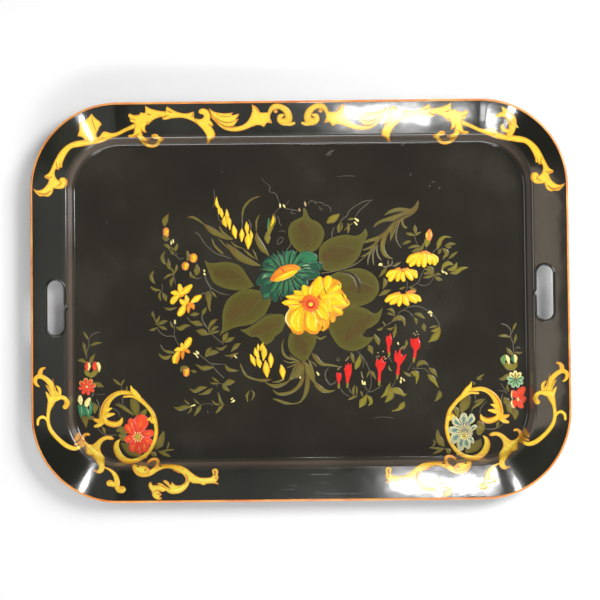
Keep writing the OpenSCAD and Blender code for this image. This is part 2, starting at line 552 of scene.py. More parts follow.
# Distance between the points along a stroke and along an outline
STROKE_STEP = 1.2
OUTLINE_STEP = 0.9
# Each stroke's brightness varies between these
JITTER = (0.92, 1.06)
# How sharply the edge colour sets in, how far a lean moves it, and how long the start colour lasts
RIM_POWER = 2.2
LEAN_SHIFT = 0.7
START_SHARE = 0.45
# Moves the streaks of each stroke away from those of the one before
BRUSH_SHIFT = 3.7


class Painting:
    """Strokes of the brush that are gathered into one piece.

    A tone is three colours: the main one, the one at the edge and the one at the start."""

    def __init__(self, name, lift):
        self.name = name
        self.lift = lift
        self.count = 0
        self.verts = []
        self.faces = []
        self.colours = []
        self.brush = []
        self.mirror = False

    def next_lift(self):
        self.count += 1
        return self.lift + self.count * LAYER_STEP

    def add(self, x, y, lift, colour, along, across, mirrored):
        if mirrored:
            x = -x
        self.verts.append(on_tray(x, y, lift))
        self.colours.append(colour)
        self.brush.append((along, across, self.count * BRUSH_SHIFT))

    def sides(self):
        return (False, True) if self.mirror else (False,)

    def stroke(self, points, tone, lean=0.0):
        """One stroke through (x, y, width) points."""
        lift = self.next_lift()
        jitter = random.uniform(*JITTER)
        for mirrored in self.sides():
            self.lay(points, tone, lean, lift, jitter, mirrored)

    def strokes(self, tone, *many):
        for points in many:
            self.stroke(points, tone)

    def lay(self, points, tone, lean, lift, jitter, mirrored):
        rows = self.rounded(catmull(points, STROKE_STEP))
        main, edge, start = tone
        length = 0.0
        first = len(self.verts)
        for i, (centre, normal, half) in enumerate(rows):
            if i:
                length += math.dist(centre, rows[i - 1][0])
            share = i / (len(rows) - 1)
            for s in ACROSS:
                height = SUNK if abs(s) == 1 or half == 0 else lift + CROWN * (1 - s * s)
                rim = abs(s - lean * LEAN_SHIFT) ** RIM_POWER
                colour = mix(mix(main, edge, rim), start, 1 - share / START_SHARE)
                colour = tuple(c * jitter for c in colour[:3]) + (1.0,)
                self.add(centre[0] + normal[0] * s * half, centre[1] + normal[1] * s * half, height,
                         colour, length, s * half, mirrored)
        wide = len(ACROSS)
        for i in range(len(rows) - 1):
            for k in range(wide - 1):
                a = first + i * wide + k
                face = (a, a + 1, a + wide + 1, a + wide)
                self.faces.append(face if mirrored else face[::-1])

    @staticmethod
    def rounded(curve, caps=5):
        """Rows of (centre, sideways direction, half width), with round caps at wide ends."""
        rows = []
        n = len(curve)
        for i, (x, y, w) in enumerate(curve):
            ahead = curve[min(i + 1, n - 1)]
            behind = curve[max(i - 1, 0)]
            dx = ahead[0] - behind[0]
            dy = ahead[1] - behind[1]
            size = math.hypot(dx, dy) or 1.0
            rows.append(((x, y), (-dy / size, dx / size), max(w, 0.0) / 2))
        start = []
        end = []
        for rows_at, sign, out in ((rows[0], -1, start), (rows[-1], 1, end)):
            (x, y), (nx, ny), half = rows_at
            for k in range(1, caps + 1):
                a = QUARTER * k / caps
                push = sign * half * math.sin(a)
                width = half * math.cos(a) if k < caps else 0.0
                out.append(((x + ny * push, y - nx * push), (nx, ny), width))
        return start[::-1] + rows + end

    def shape(self, runs, tone, edge_width=1.6, grid=2.0):
        """A filled outline of smooth runs; each run goes on to the first point of the next."""
        lift = self.next_lift()
        outline = []
        for i, run in enumerate(runs):
            goal = runs[(i + 1) % len(runs)][0]
            outline += catmull(list(run) + [goal], OUTLINE_STEP)[:-1]
        for mirrored in self.sides():
            self.fill(outline, tone, edge_width, grid, lift, mirrored)

    def fill(self, outline, tone, edge_width, grid, lift, mirrored):
        main, edge, _ = tone
        xs = [p[0] for p in outline]
        ys = [p[1] for p in outline]
        points = [Vector(p[:2]) for p in outline]
        n = len(points)
        inner = grid_inside(points, xs, ys, grid)
        ties = [(i, (i + 1) % n) for i in range(n)]
        flat = geometry.delaunay_2d_cdt(points + inner, ties, [], 1, 1e-5)
        first = len(self.verts)
        for q in flat[0]:
            d = nearest(q, points)
            colour = mix(edge, main, d / edge_width)
            height = lift if d > 0.01 else lift - SHAPE_DROP
            self.add(q.x, q.y, height, colour, q.x + q.y, q.x - q.y, mirrored)
        for face in flat[2]:
            corners = [first + i for i in face]
            self.faces.append(corners[::-1] if mirrored else corners)
        skirt = len(self.verts)
        for height in (lift - SHAPE_DROP, SUNK):
            for q in points:
                self.add(q.x, q.y, height, edge, q.x + q.y, q.x - q.y, mirrored)
        for i in range(n):
            j = (i + 1) % n
            self.faces.append((skirt + i, skirt + j, skirt + n + j, skirt + n + i))

    def dot(self, x, y, size, tone):
        self.stroke([(x - size * 0.05, y, size * 0.97), (x + size * 0.05, y, size * 0.97)], tone)

    def finish(self):
        """Makes the piece, with each point's colour and its place in its own stroke."""
        piece = new_piece(self.name, self.verts, self.faces, PAINT)
        mesh = piece.data
        colour = mesh.color_attributes.new("paint", "FLOAT_COLOR", "POINT")
        colour.data.foreach_set("color", [c for q in self.colours for c in q])
        brush = mesh.attributes.new("brush", "FLOAT_VECTOR", "POINT")
        brush.data.foreach_set("vector", [c for q in self.brush for c in q])


def grid_inside(outline, xs, ys, grid):
    """Points of a square grid that lie inside an outline and not too close to it."""
    points = []
    y = min(ys) + grid / 2
    while y < max(ys):
        x = min(xs) + grid / 2
        while x < max(xs):
            q = Vector((x, y))
            if inside(q, outline) and nearest(q, outline) > grid * 0.45:
                points.append(q)
            x += grid
        y += grid
    return points


def inside(q, outline):
    hit = False
    n = len(outline)
    for i in range(n):
        a = outline[i]
        b = outline[(i + 1) % n]
        if (a.y > q.y) != (b.y > q.y) and q.x < (b.x - a.x) * (q.y - a.y) / (b.y - a.y) + a.x:
            hit = not hit
    return hit


def nearest(q, outline):
    best = 1e9
    n = len(outline)
    for i in range(n):
        a = outline[i]
        ab = outline[(i + 1) % n] - a
        t = min(max((q - a).dot(ab) / max(ab.length_squared, 1e-9), 0.0), 1.0)
        best = min(best, (a + ab * t - q).length)
    return best


# ---------------------------------------------------------------- the painting: gold border
GOLD = (srgb(252, 222, 62), srgb(226, 146, 26), srgb(246, 196, 40))
GOLD_WARM = (srgb(246, 196, 48), srgb(216, 126, 26), srgb(236, 152, 30))
GOLD_END = (srgb(240, 180, 60), srgb(212, 120, 44), srgb(236, 150, 52))
OCHRE = (srgb(222, 140, 22), srgb(206, 122, 22), srgb(214, 130, 24))
CREASE = (srgb(196, 118, 32), srgb(160, 92, 30), srgb(200, 120, 30))


def corner_spray(p):
    """The scroll that turns the upper corner, with its palmette, ending in a long stem."""
    p.shape([
        [(-333.5, 143.5), (-331.3, 139.3), (-328, 135.6), (-325, 133.8), (-320.5, 134.2), (-317, 133.4),
         (-313.3, 135), (-310.8, 138.3), (-309.6, 142)],
        [(-309.2, 144.2), (-304, 143.6), (-299, 144.1), (-295.3, 146.5), (-292.9, 150.3), (-292.8, 154.5),
         (-294.6, 157.4), (-297.6, 158.4), (-301, 157.4), (-302.6, 155)],
        [(-301, 152.7), (-303.4, 154.6), (-305.7, 156.6), (-307.2, 160), (-307.6, 164)],
        [(-306.3, 168.2), (-304.5, 168.5)], [(-303, 167.3), (-302, 169)],
        [(-301.3, 171), (-300, 170.2), (-298.5, 171.4), (-297.8, 176), (-296, 181), (-293, 186.5),
         (-289.5, 191.5), (-285, 195), (-279, 196.3), (-270, 198), (-260, 200), (-250, 202.6), (-240, 206.4),
         (-228, 210.6), (-216, 216), (-206, 220)],
        [(-206, 225.6), (-212, 222.6), (-220, 219), (-228, 215.4), (-234, 213.8), (-238.5, 214.3)],
        [(-242.5, 215.7), (-246.5, 215.4), (-249.3, 212.2), (-252, 209.4), (-257, 207.4), (-263, 206.2)],
        [(-269.5, 205.4), (-274, 204.8), (-280, 203.8), (-286, 201.8), (-292, 198.3), (-298, 193),
         (-303, 186.5), (-307, 179), (-310, 172.5), (-312.5, 167), (-315.5, 162.6)],
        [(-320, 159.8), (-318.8, 157), (-316.3, 155.9)],
        [(-314.5, 155.4), (-315.6, 151.3), (-318.5, 146.5), (-323, 142.6), (-328.4, 141.2)],
    ], GOLD)
    p.strokes(OCHRE,
        [(-330, 139.5, 0.8), (-325, 137, 2.2), (-318, 137, 2.6), (-313, 141, 1.6)],
        [(-296, 147.5, 1), (-293.8, 151.5, 1.8), (-295, 156.2, 1.4)],
        [(-306, 147, 0.8), (-301, 149.5, 2.2), (-300, 152, 1)],
        [(-305.3, 177, 0.8), (-305, 172, 1.8), (-303.7, 168.6, 1.2)],
        [(-301.3, 177, 0.6), (-301.3, 173.5, 1.4), (-300.6, 171.2, 0.8)],
        [(-317.5, 158.3, 1.6), (-313, 157.6, 2.2), (-310.5, 160, 0.8)],
        [(-264.5, 212, 1), (-263.2, 208.5, 2.4), (-262.5, 205, 1)],
        [(-250, 208, 1.2), (-247.5, 207.4, 1.8), (-244, 208.6, 0.6)])
    palmette(p)


def palmette(p):
    """The leaf that stands on the turn of the scroll: pointed on the left, curled on the right."""
    p.mirror = False
    p.shape([
        [(-249, 206), (-252.4, 207.4), (-254.8, 210), (-254.5, 214), (-252.6, 217), (-250.6, 221)],
        [(-247.6, 224.2), (-249.7, 227.7), (-253.5, 230.5), (-256.8, 233.6)],
        [(-259.7, 237.5), (-263, 233.5), (-267, 230.3), (-271.5, 228), (-275.3, 225.2), (-275.5, 220),
         (-276.3, 215.3)],
        [(-278.6, 209.6), (-275, 209.3), (-271.6, 207.8)],
        [(-269.5, 204), (-260, 203.4)],
    ], GOLD)
    p.stroke([(-255.5, 217, 0.8), (-258, 225, 1.6), (-259.6, 233, 0.8)], OCHRE)
    p.strokes(GOLD,
        [(266, 205, 6), (269.4, 214, 9), (268.4, 224, 11), (262, 232, 9), (256.4, 239.4, 2)],
        [(265, 229, 6), (256, 231, 6.4), (248, 228.4, 2)],
        [(269, 221, 7), (273.4, 217, 4), (276.6, 214.4, 1)],
        [(267, 210, 4), (260, 211.6, 5), (256.4, 215.6, 4.6), (258.4, 219, 1.6)])
    p.strokes(OCHRE,
        [(261, 233, 0.8), (266, 227, 1.6), (267.4, 217, 0.8)],
        [(264, 213.4, 0.7), (260, 214.4, 1.3), (258.4, 217, 0.7)])
    p.mirror = True


def acanthus(p):
    """The large leafy turn to the left and right of the middle."""
    p.shape([[(-206.5, 225.6), (-209.6, 226.3)],
             [(-212.3, 228.4), (-211.8, 230.8), (-213.4, 233), (-213.8, 235.6)],
             [(-211.6, 237.4), (-209, 235.8), (-205, 235.2)], [(-199.5, 235.8), (-199, 237.4)],
             [(-197.5, 238.6), (-195, 237.6)], [(-192.2, 238), (-192, 242)],
             [(-192.2, 246.3), (-189.5, 245), (-185, 242.6), (-179, 241), (-172, 239.7)],
             [(-166.3, 239.3), (-166, 242.5)],
             [(-164.8, 245.2), (-161.5, 243.3), (-157, 240.8), (-151, 238.2), (-145, 236.8), (-139, 236.8),
              (-134.5, 237.8)],
             [(-131.2, 238.8), (-131.1, 234.5)], [(-131.2, 230.8), (-129, 230)],
             [(-126.5, 222.8), (-131, 226), (-136, 228.5), (-140, 230), (-146, 231.3), (-153, 231.2),
              (-160, 230.6), (-166, 229.3), (-169, 229.2), (-171.2, 230.4)],
             [(-171, 232.9), (-175, 232), (-179.5, 230.5), (-184, 228), (-187, 225.3)],
             [(-189, 223.4), (-190.2, 224)], [(-191.6, 223.4), (-193.2, 220.3), (-193, 217)],
             [(-191.2, 214.2), (-194, 214), (-196, 215.2)],
             [(-197.2, 216.3), (-197.9, 213), (-196.5, 210), (-193, 208)],
             [(-187, 206.5), (-190, 205.3), (-194, 204.6)],
             [(-196.6, 204.4), (-193, 202.9), (-188.5, 201.6), (-184, 202), (-180.6, 204)],
             [(-178.6, 206.2), (-181, 206.8), (-184, 207.3), (-185.7, 209.2), (-184.8, 211.4),
              (-181, 212.3), (-178, 211.3), (-176, 209.2), (-172.6, 208.4)],
             [(-169.6, 206.7), (-172.5, 204.8), (-175.5, 203.6), (-178.5, 200.8), (-183, 198.3),
              (-188, 197.6), (-193.5, 198.8), (-198, 201.5), (-200.6, 204.6), (-202.8, 207.8)],
             [(-204.5, 209.2), (-208, 208.2), (-213, 208.1)],
             [(-215.8, 209.8), (-214, 211.4), (-210.4, 211.8), (-208.2, 213), (-207.2, 217)],
             [(-206, 220.4), (-206, 223)]],
            GOLD)
    p.strokes(OCHRE,
        [(-209.5, 209.6, 0.8), (-205, 210.6, 2), (-201, 213, 0.8)],
        [(-198.4, 220, 0.8), (-198, 215, 1.6), (-196.8, 211.5, 0.8)],
        [(-199, 205.3, 0.8), (-195.5, 203.8, 1.6), (-192, 203.6, 0.6)],
        [(-184.5, 209.6, 1.6), (-182, 209.8, 2.2), (-179.5, 209.4, 0.8)],
        [(-173, 206.8, 1.4), (-170.8, 206.8, 1.6)],
        [(-190.8, 227, 1.6), (-189.3, 225.6, 1.4), (-187.5, 227.5, 0.6)],
        [(-190.5, 237.5, 1), (-188, 235.8, 2.2), (-185, 235.4, 0.8)],
        [(-211, 231, 1), (-208, 230.2, 1.8), (-205, 229, 0.6)],
        [(-169.3, 231.4, 2), (-167.5, 233.4, 2.2), (-163, 234.2, 0.8)],
        [(-164.5, 240, 1), (-161.5, 238.6, 2), (-158, 237.8, 0.6)],
        [(-132.3, 236.5, 1), (-133, 233.5, 1.8), (-134.5, 231.8, 0.8)])


def bulb_and_fan(p):
    """The rolled bulb with its hanging leaf, the three-leaved fan and the stem below it."""
    p.shape([
        [(-131.2, 231), (-127, 229.8), (-122, 229.8), (-119.4, 231.5), (-118.8, 233.4), (-120.5, 235.2),
         (-123.5, 235.7), (-125.3, 238.2), (-124, 240.9), (-120.5, 242.3), (-116.5, 241.8), (-113, 239.8),
         (-111.2, 236.5)],
        [(-110.2, 231.6), (-111, 228.6), (-109.5, 226.4), (-107.8, 224.4)],
        [(-107.2, 221), (-109.4, 220.7)],
        [(-108.6, 218.6), (-106.5, 215.5), (-105, 211.5), (-105.3, 208), (-107, 206.4), (-110.5, 205.4),
         (-113.5, 202.7)],
        [(-117.6, 201.8), (-116, 205), (-116, 209), (-118.5, 214), (-122, 218.5)],
        [(-126.5, 222.8), (-129, 226.6)],
    ], GOLD)
    p.strokes(OCHRE,
        [(-113.5, 223, 0.8), (-111, 221.4, 2), (-109.4, 221, 0.8)],
        [(-106, 213, 0.8), (-106, 209, 1.8), (-109.5, 206.4, 1.2), (-114, 203.4, 0.8)])
    p.shape([
        [(-112, 242.8), (-107.5, 239.3), (-102, 237.3), (-95, 236.3), (-88, 236.3)],
        [(-81.6, 237.2), (-83.5, 234.4)], [(-82.3, 233.8), (-79, 234.6)],
        [(-74.2, 235.7), (-75.6, 232), (-78.4, 229.5)], [(-78.2, 228.9), (-76.6, 229.3)],
        [(-74.7, 229.1), (-77.5, 225.5), (-80.5, 221.8), (-84, 220.3), (-89, 219.8), (-94, 221.3),
         (-99, 224.6), (-103.5, 228.8), (-107, 232.6), (-110, 236.6)],
    ], GOLD)
    p.stroke([(-103.5, 231.5, 0.6), (-98, 227.3, 1.3), (-90, 225, 1.5), (-83, 225.8, 1.2),
              (-77.5, 229, 0.5)],
             CREASE)
    p.stroke([(-103, 235, 0.5), (-96, 232.6, 1), (-88, 232, 1.2), (-82.5, 233.7, 0.5)], OCHRE)
    p.stroke([(-92.5, 220.6, 0.5), (-86, 219.5, 1.2), (-78.5, 220.3, 0.5)], CREASE)
    p.shape([
        [(-33.6, 236.8), (-38, 236.8), (-43, 236.5)], [(-47.9, 236.8), (-50, 241), (-54, 244.5)],
        [(-58.4, 246.4), (-57.6, 241), (-58.7, 235.5), (-61.3, 230), (-65, 225.3), (-70.5, 221.8),
         (-78, 219.9), (-86, 219), (-93, 220.4), (-99, 224.2), (-105, 230.3)],
        [(-110.3, 236), (-109.3, 231.4), (-105, 226.3), (-100, 221.2), (-94.5, 217.3), (-88, 215),
         (-80, 214.2), (-72, 215), (-65, 217), (-58, 219.6), (-52, 221.5), (-47.4, 221.2)],
        [(-43.4, 219), (-41, 222), (-39.3, 224.2), (-36, 223.8)],
        [(-33, 223.2), (-33.6, 226.5), (-35.2, 229.5), (-35, 233)],
    ], GOLD)
    p.strokes(OCHRE,
        [(-55.5, 243.5, 1), (-51.5, 240, 1.8), (-49.3, 236.5, 1)], [(-37, 227.5, 0.6), (-34.6, 225, 1.6)])


def middle_ring(p):
    """The open C-shaped ring that closes each half of the border at the middle of the side."""
    p.strokes(GOLD,
        [(-36, 236.5, 4.5), (-34, 240.3, 5.6), (-30.3, 243.4, 6.4), (-24, 243.7, 6.6), (-18, 241.2, 7.4),
         (-13.6, 236.4, 8.8), (-11.8, 230.5, 9.3), (-13.2, 225.6, 9), (-17, 223.2, 6)],
        [(-15, 226, 9), (-19.8, 225.2, 8.4), (-23.6, 228, 7), (-22.6, 232, 6), (-19.2, 233, 3.6)],
        [(-16, 222.6, 4), (-10, 222, 4), (-5.4, 223.4, 3.4)])
    p.dot(-28.2, 238, 5.2, OCHRE)
    p.dot(-28.4, 237.6, 3.4, GOLD_WARM)
    p.dot(-20, 229.8, 1.7, CREASE)


def side_scroll(p):
    """The tall scroll on the lower part of each short side."""
    p.stroke([(-320.8, -81.6, 2.3), (-324.2, -83, 4.6), (-326.2, -87, 5.8), (-326.4, -91.5, 6.5)],
             GOLD_WARM)
    p.strokes(GOLD,
        [(-327.8, -104.6, 2), (-331, -101.8, 3.8), (-332.2, -96.8, 4.6), (-330, -92.8, 5.2),
         (-325, -92.2, 5.4), (-319.3, -95.8, 6), (-315, -100.5, 6.6), (-312, -106.5, 7.2),
         (-311, -113, 8.4), (-312, -120, 10.5), (-314, -127, 8), (-316.2, -134, 5), (-317.2, -142, 4.3),
         (-317, -150, 4.3), (-314.6, -158, 4.8), (-309.5, -166, 5), (-302, -173.8, 5.2), (-294, -180, 5.6),
         (-286, -183.2, 5.4), (-279.5, -181.8, 4.4), (-276, -178, 3)],
        [(-319.6, -103.2, 0.8), (-316.4, -107.5, 2.8), (-313.5, -114, 3)],
        [(-319.6, -111.6, 0.8), (-317.3, -116, 3.6), (-314.6, -123, 4.5)])
    p.strokes(OCHRE,
        [(-318.3, -104.8, 0.5), (-315.6, -108.6, 1.3), (-313.8, -112.5, 0.6)],
        [(-316, -111, 0.6), (-314.4, -115.5, 1.5), (-314.2, -119.5, 0.6)])
    p.strokes(GOLD,
        [(-307.4, -104.2, 0.8), (-304.4, -107.4, 4), (-303.4, -112, 4.6), (-304.5, -117.5, 5.5)],
        [(-308.4, -110.2, 0.8), (-306.7, -113.5, 3), (-306, -118, 4.5)])
    p.stroke([(-305.4, -107.5, 0.5), (-304.8, -111.5, 1.3), (-305.2, -115, 0.6)], OCHRE)
    p.stroke([(-313.5, -121, 8), (-308, -119.8, 8), (-301.5, -118.8, 5.4), (-296.3, -121.5, 5.2),
              (-294.6, -127, 6), (-296.6, -130.7, 6.6)],
             (GOLD[0], GOLD[1], GOLD[0]))
    p.stroke([(-296.5, -122.5, 1.5), (-295.6, -127, 3.4), (-296.8, -131, 3.6)], GOLD_WARM)
    p.stroke([(-329.3, -152, 3), (-328.7, -146.3, 3.6), (-324.8, -142.7, 3.9), (-320.6, -144.3, 3.4),
              (-317.8, -149, 2.2)],
             GOLD)
    p.stroke([(-311.5, -95, 0.5), (-310, -106, 1.3), (-309.2, -112, 0.6)], OCHRE)


def side_scroll_foot(p):
    """The branching foot of the tall scroll, down to its two bulbs."""
    p.strokes(GOLD_END,
        [(-283.7, -166.3, 3), (-283.3, -170.5, 5.6), (-284.5, -173.6, 3.4)],
        [(-285.5, -178.6, 1.2), (-281.5, -177.5, 3.4), (-278, -175, 4.6)],
        [(-270.6, -167.6, 3), (-274.4, -167.2, 3.8), (-277.8, -170.3, 4.4), (-278.2, -176, 4.8),
         (-276.5, -180.5, 4)])
    p.dot(-272, -167.2, 3.4, GOLD)
    p.shape([[(-276.8, -172), (-274.6, -176.5), (-271, -179.3), (-266, -180.4)],
             [(-262, -177.6), (-257, -173.2), (-251.5, -170.2), (-246, -169.4), (-241, -170.6)],
             [(-238.2, -173.6), (-242, -174.8), (-247, -174.2), (-251.3, -176), (-254.8, -180)],
             [(-256.4, -186), (-254.5, -191), (-250.8, -197), (-248.2, -203.5), (-247.6, -209),
              (-249.6, -213), (-253.6, -214.8), (-258, -213.6)],
             [(-261.6, -210.8), (-257.6, -211), (-255.2, -209.2), (-255, -205.3), (-257.2, -201.5),
              (-261, -197.2)],
             [(-264, -193), (-268, -192.2), (-271.4, -189.4), (-273, -184.8), (-274.8, -181),
              (-278.4, -177)]],
            (srgb(244, 218, 82), GOLD[1], GOLD[0]))
    p.stroke([(-272, -181, 2), (-268, -186, 3.4), (-263, -192, 2.6), (-258, -198, 1.2)], GOLD_WARM)
    p.strokes(GOLD,
        [(-264, -182, 4), (-259, -178, 3), (-252, -172.6, 2.6), (-245, -171.4, 1.6)],
        [(-260, -187, 3), (-256, -194, 3.6), (-252, -202, 3.6), (-251.5, -209, 2.8)])
    p.stroke([(-249.5, -206.8, 1.2), (-243, -209.4, 2.6), (-237.6, -213.2, 4), (-233.3, -219, 6),
              (-231.6, -225, 7), (-231.4, -230.5, 7), (-228.4, -235, 6.6), (-225.5, -236.2, 5.4)],
             (GOLD[0], GOLD[1], GOLD_END[0]))
    p.stroke([(-229.8, -227, 1), (-228.6, -230.6, 1)], OCHRE)
    p.stroke([(-233.5, -228.4, 6), (-238, -228, 6)], GOLD)
    p.dot(-240.4, -226.6, 8.2, GOLD)
    p.dot(-241, -225.4, 4.6, GOLD_WARM)
    p.dot(-225.3, -234.4, 9, GOLD)
    p.dot(-224.6, -233, 4.8, GOLD_WARM)


def corner_ring(p):
    """The nearly closed ring that frames the corner flower."""
    p.stroke([(-263.2, -148.8, 3.2), (-258.5, -150.4, 6.4), (-253.5, -151, 6)], GOLD_WARM)
    p.stroke([(-262.4, -157.2, 3.6), (-257.5, -155.6, 5.4), (-251.5, -151.5, 5)], GOLD)
    p.stroke([(-254, -152.5, 4.5), (-253, -146, 8), (-251.3, -138, 9.6), (-249, -131, 9.4),
              (-246, -125.3, 8.2), (-241, -120, 6.8), (-235, -116.3, 6), (-228, -114.6, 5.4),
              (-221, -115.2, 5.4), (-214, -118, 6.6), (-207, -122.3, 6.6), (-200.8, -127.4, 5.4),
              (-195, -133.5, 5), (-190, -140.2, 5.4), (-187, -147.5, 5.4), (-185.2, -156, 5),
              (-184.6, -165, 5), (-186.2, -174, 5), (-189.6, -183, 5), (-194.6, -190.5, 5),
              (-200.5, -196, 5.2), (-208, -200, 5), (-217, -201.6, 5.2), (-224.6, -200, 6.6),
              (-231, -195.8, 8.2), (-234.7, -189.5, 8.4), (-235.9, -183.5, 7.2), (-234.6, -178.3, 5.2),
              (-231.3, -174.6, 1.6)],
             GOLD, lean=-0.35)
    p.strokes(GOLD,
        [(-248, -137, 7), (-241.6, -134.8, 1.8)],
        [(-248.5, -143.8, 6.4), (-243, -142.6, 5), (-238.6, -141.9, 2.6)])
    p.stroke([(-252.2, -146.5, 5), (-248.4, -151.8, 6.4), (-242, -154.8, 7), (-235, -155, 7),
              (-229.8, -152, 6), (-227.9, -147.2, 1.6)], GOLD, lean=0.4)
    p.stroke([(-246.5, -149.8, 1), (-241, -152, 2), (-234.5, -152.2, 1.8), (-230.5, -150, 0.8)], OCHRE)
    p.strokes(GOLD,
        [(-216.7, -106.3, 0.8), (-215.4, -110.5, 4.4), (-212.6, -115, 7.6), (-207, -121, 6.4)],
        [(-225.3, -120.3, 2.4), (-219, -119.6, 3), (-212, -120.4, 3.6), (-205, -124, 3.6)])
    p.stroke([(-226, -117.9, 0.8), (-219, -117.5, 1.5), (-212.5, -118.3, 0.8)], CREASE)
    p.stroke([(-196.2, -150.3, 1), (-192, -148.8, 6.4), (-188.6, -150.5, 8.4)], GOLD)
    p.strokes(OCHRE,
        [(-192, -144.5, 0.8), (-190.6, -148.5, 1.6), (-189.5, -151.5, 0.8)],
        [(-254.6, -146, 1), (-253.8, -138, 2), (-251, -130, 2), (-246, -123, 1.4), (-238, -117, 0.8)])
    p.strokes(GOLD_WARM,
        [(-229, -198.4, 2.4), (-222, -200.2, 3.6), (-215.5, -200.4, 1.8)],
        [(-207, -199, 1.2), (-202, -197.5, 2.4), (-197, -197.4, 1)])


def bottom_scroll(p):
    """The scroll that runs from each lower corner along the front border."""
    p.shape([
        [(-213.6, -204.5), (-212, -211), (-208, -216.4), (-202, -219.4), (-195, -219.6), (-189, -218),
         (-184, -215), (-179, -211.9), (-173, -209.9), (-167.5, -209.4), (-162, -210.6), (-156, -213),
         (-151.5, -215.4), (-147.8, -218.6), (-145.6, -222.5), (-146.9, -226.8), (-150.5, -229.5),
         (-155, -230.2), (-159, -229.2)],
        [(-162.8, -225.6), (-163.8, -228.6)],
        [(-165, -229.2), (-167, -226), (-170, -224), (-172.6, -223.6)],
        [(-174, -225.4), (-171.6, -227.4), (-168.4, -230)],
        [(-165, -233.8), (-169.5, -231.6), (-173.5, -228.6), (-178, -226.8)],
        [(-182, -228), (-179, -229.4)], [(-186.4, -229.8), (-188, -227.6)],
        [(-189.4, -225.2), (-191.8, -228.3), (-191.2, -232.6), (-188.6, -236.2), (-187.2, -238.6),
         (-187, -241.6), (-184.2, -245.2), (-179.5, -247.2), (-175.4, -246.8)],
        [(-175, -244.4), (-177.6, -243.4)], [(-174.8, -240.8), (-177, -238.8)],
        [(-180.4, -235.6), (-177, -237.2), (-173.4, -237.6)],
        [(-170, -236.4), (-167.6, -238.4), (-163.8, -240), (-158, -240.5), (-151, -238.8), (-145.6, -235),
         (-142, -230.4)],
        [(-140.4, -226), (-136, -227.8), (-130, -228.2), (-126.4, -228.9), (-123, -230.4), (-119.4, -228.8),
         (-113, -228.2), (-108.4, -228.6)],
        [(-104.8, -229.9), (-104.6, -228.2)],
        [(-107.4, -226.2), (-105.2, -223.4), (-104.6, -220.5), (-105.4, -217.5), (-104.9, -213.6),
         (-107, -210.6), (-110.2, -210.4), (-112.9, -212.6), (-112, -215.6)],
        [(-111.6, -218.6), (-115, -220.9), (-121, -221.3), (-128, -220.8), (-134, -218), (-139.5, -213.9),
         (-144, -210.4), (-150, -207.4), (-156, -205.9), (-164, -205.2), (-172, -205.2)],
        [(-179.6, -205.8), (-184, -207), (-189.5, -210.4)],
        [(-192, -211.4), (-195, -207), (-203, -206.2)],
    ], (srgb(244, 222, 74), GOLD[1], GOLD[0]))
    p.strokes(GOLD_END,
        [(-194.5, -202.6, 3), (-190.4, -200, 3.6), (-185, -199.9, 4), (-182, -203.5, 4.2),
         (-182.6, -208.5, 5)],
        [(-195.8, -208.6, 3), (-193.4, -211, 4.6), (-191.5, -214.2, 3)])
    p.strokes(GOLD_WARM,
        [(-212.3, -207, 2.4), (-208, -213, 3.4), (-201, -216.4, 3.6), (-193, -215.6, 3)],
        [(-176, -207.2, 2), (-166, -206.9, 3), (-157, -207.8, 3), (-149, -211, 2)])
    p.strokes(OCHRE,
        [(-162, -211.4, 0.6), (-157, -213.4, 1.6), (-153.2, -215.2, 1)],
        [(-146.6, -216, 1), (-143.4, -220.5, 2.6), (-144, -226, 2.2), (-147.6, -230.5, 1)],
        [(-179, -229.4, 0.8), (-174, -231.2, 1.4), (-169.5, -234, 0.7)],
        [(-186, -238.2, 1), (-182, -236.2, 1.8), (-176, -236, 1)],
        [(-182, -240, 0.8), (-178.6, -240.4, 2), (-176.4, -242, 1)])
    p.stroke([(-137, -220, 1), (-128, -223.4, 3), (-118, -224, 3), (-109, -224.2, 1.4)],
             (srgb(252, 244, 120), GOLD[0], GOLD[0]))
    p.stroke([(-165, -236, 1), (-157, -236, 3.6), (-149, -233, 2.6), (-143.6, -227, 1)],
             (srgb(252, 244, 110), GOLD[0], GOLD[0]))
    p.stroke([(-110.6, -212.6, 1), (-108.6, -214.4, 3), (-109.2, -218.2, 2.4)], CREASE)
    p.dot(-107.6, -221.6, 3.4, GOLD_END)
    p.dot(-197, -211.6, 2.4, CREASE)


def paint_gold():
    """Both halves of every gold scroll: the left half is painted and the right one mirrors it."""
    border = Painting("gold_border_back", 0.30)
    border.mirror = True
    for motif in (corner_spray, acanthus, bulb_and_fan, middle_ring):
        motif(border)
    border.finish()
    sides = Painting("gold_side_scrolls", 0.30)
    sides.mirror = True
    side_scroll(sides)
    side_scroll_foot(sides)
    sides.finish()
    front = Painting("gold_front_scrolls", 0.30)
    front.mirror = True
    bottom_scroll(front)
    front.finish()
    rings = Painting("gold_corner_rings", 0.40)
    rings.mirror = True
    corner_ring(rings)
    rings.finish()


# ---------------------------------------------------------------- the painting: bouquet
LEAF = (srgb(122, 110, 34), srgb(90, 82, 30), srgb(88, 72, 24))
LEAF_BIG = (srgb(86, 78, 16), srgb(98, 94, 30), srgb(88, 68, 18))
LEAF_LIT = (srgb(142, 132, 30), srgb(104, 92, 30), srgb(122, 102, 30))
LEAF_DIM = (srgb(126, 116, 84), srgb(92, 84, 62), srgb(100, 90, 66))
BLADE = (srgb(120, 110, 40), srgb(98, 88, 36), srgb(112, 80, 26))
STEM = (srgb(96, 90, 74), srgb(74, 69, 58), srgb(90, 84, 68))
STEM_DARK = (srgb(62, 52, 30), srgb(54, 48, 34), srgb(60, 50, 30))
YELLOW = (srgb(254, 224, 10), srgb(248, 166, 12), srgb(248, 174, 8))
YELLOW_PALE = (srgb(255, 242, 84), srgb(254, 220, 40), srgb(254, 222, 20))
ORANGE = (srgb(246, 160, 30), srgb(234, 118, 30), srgb(238, 116, 20))
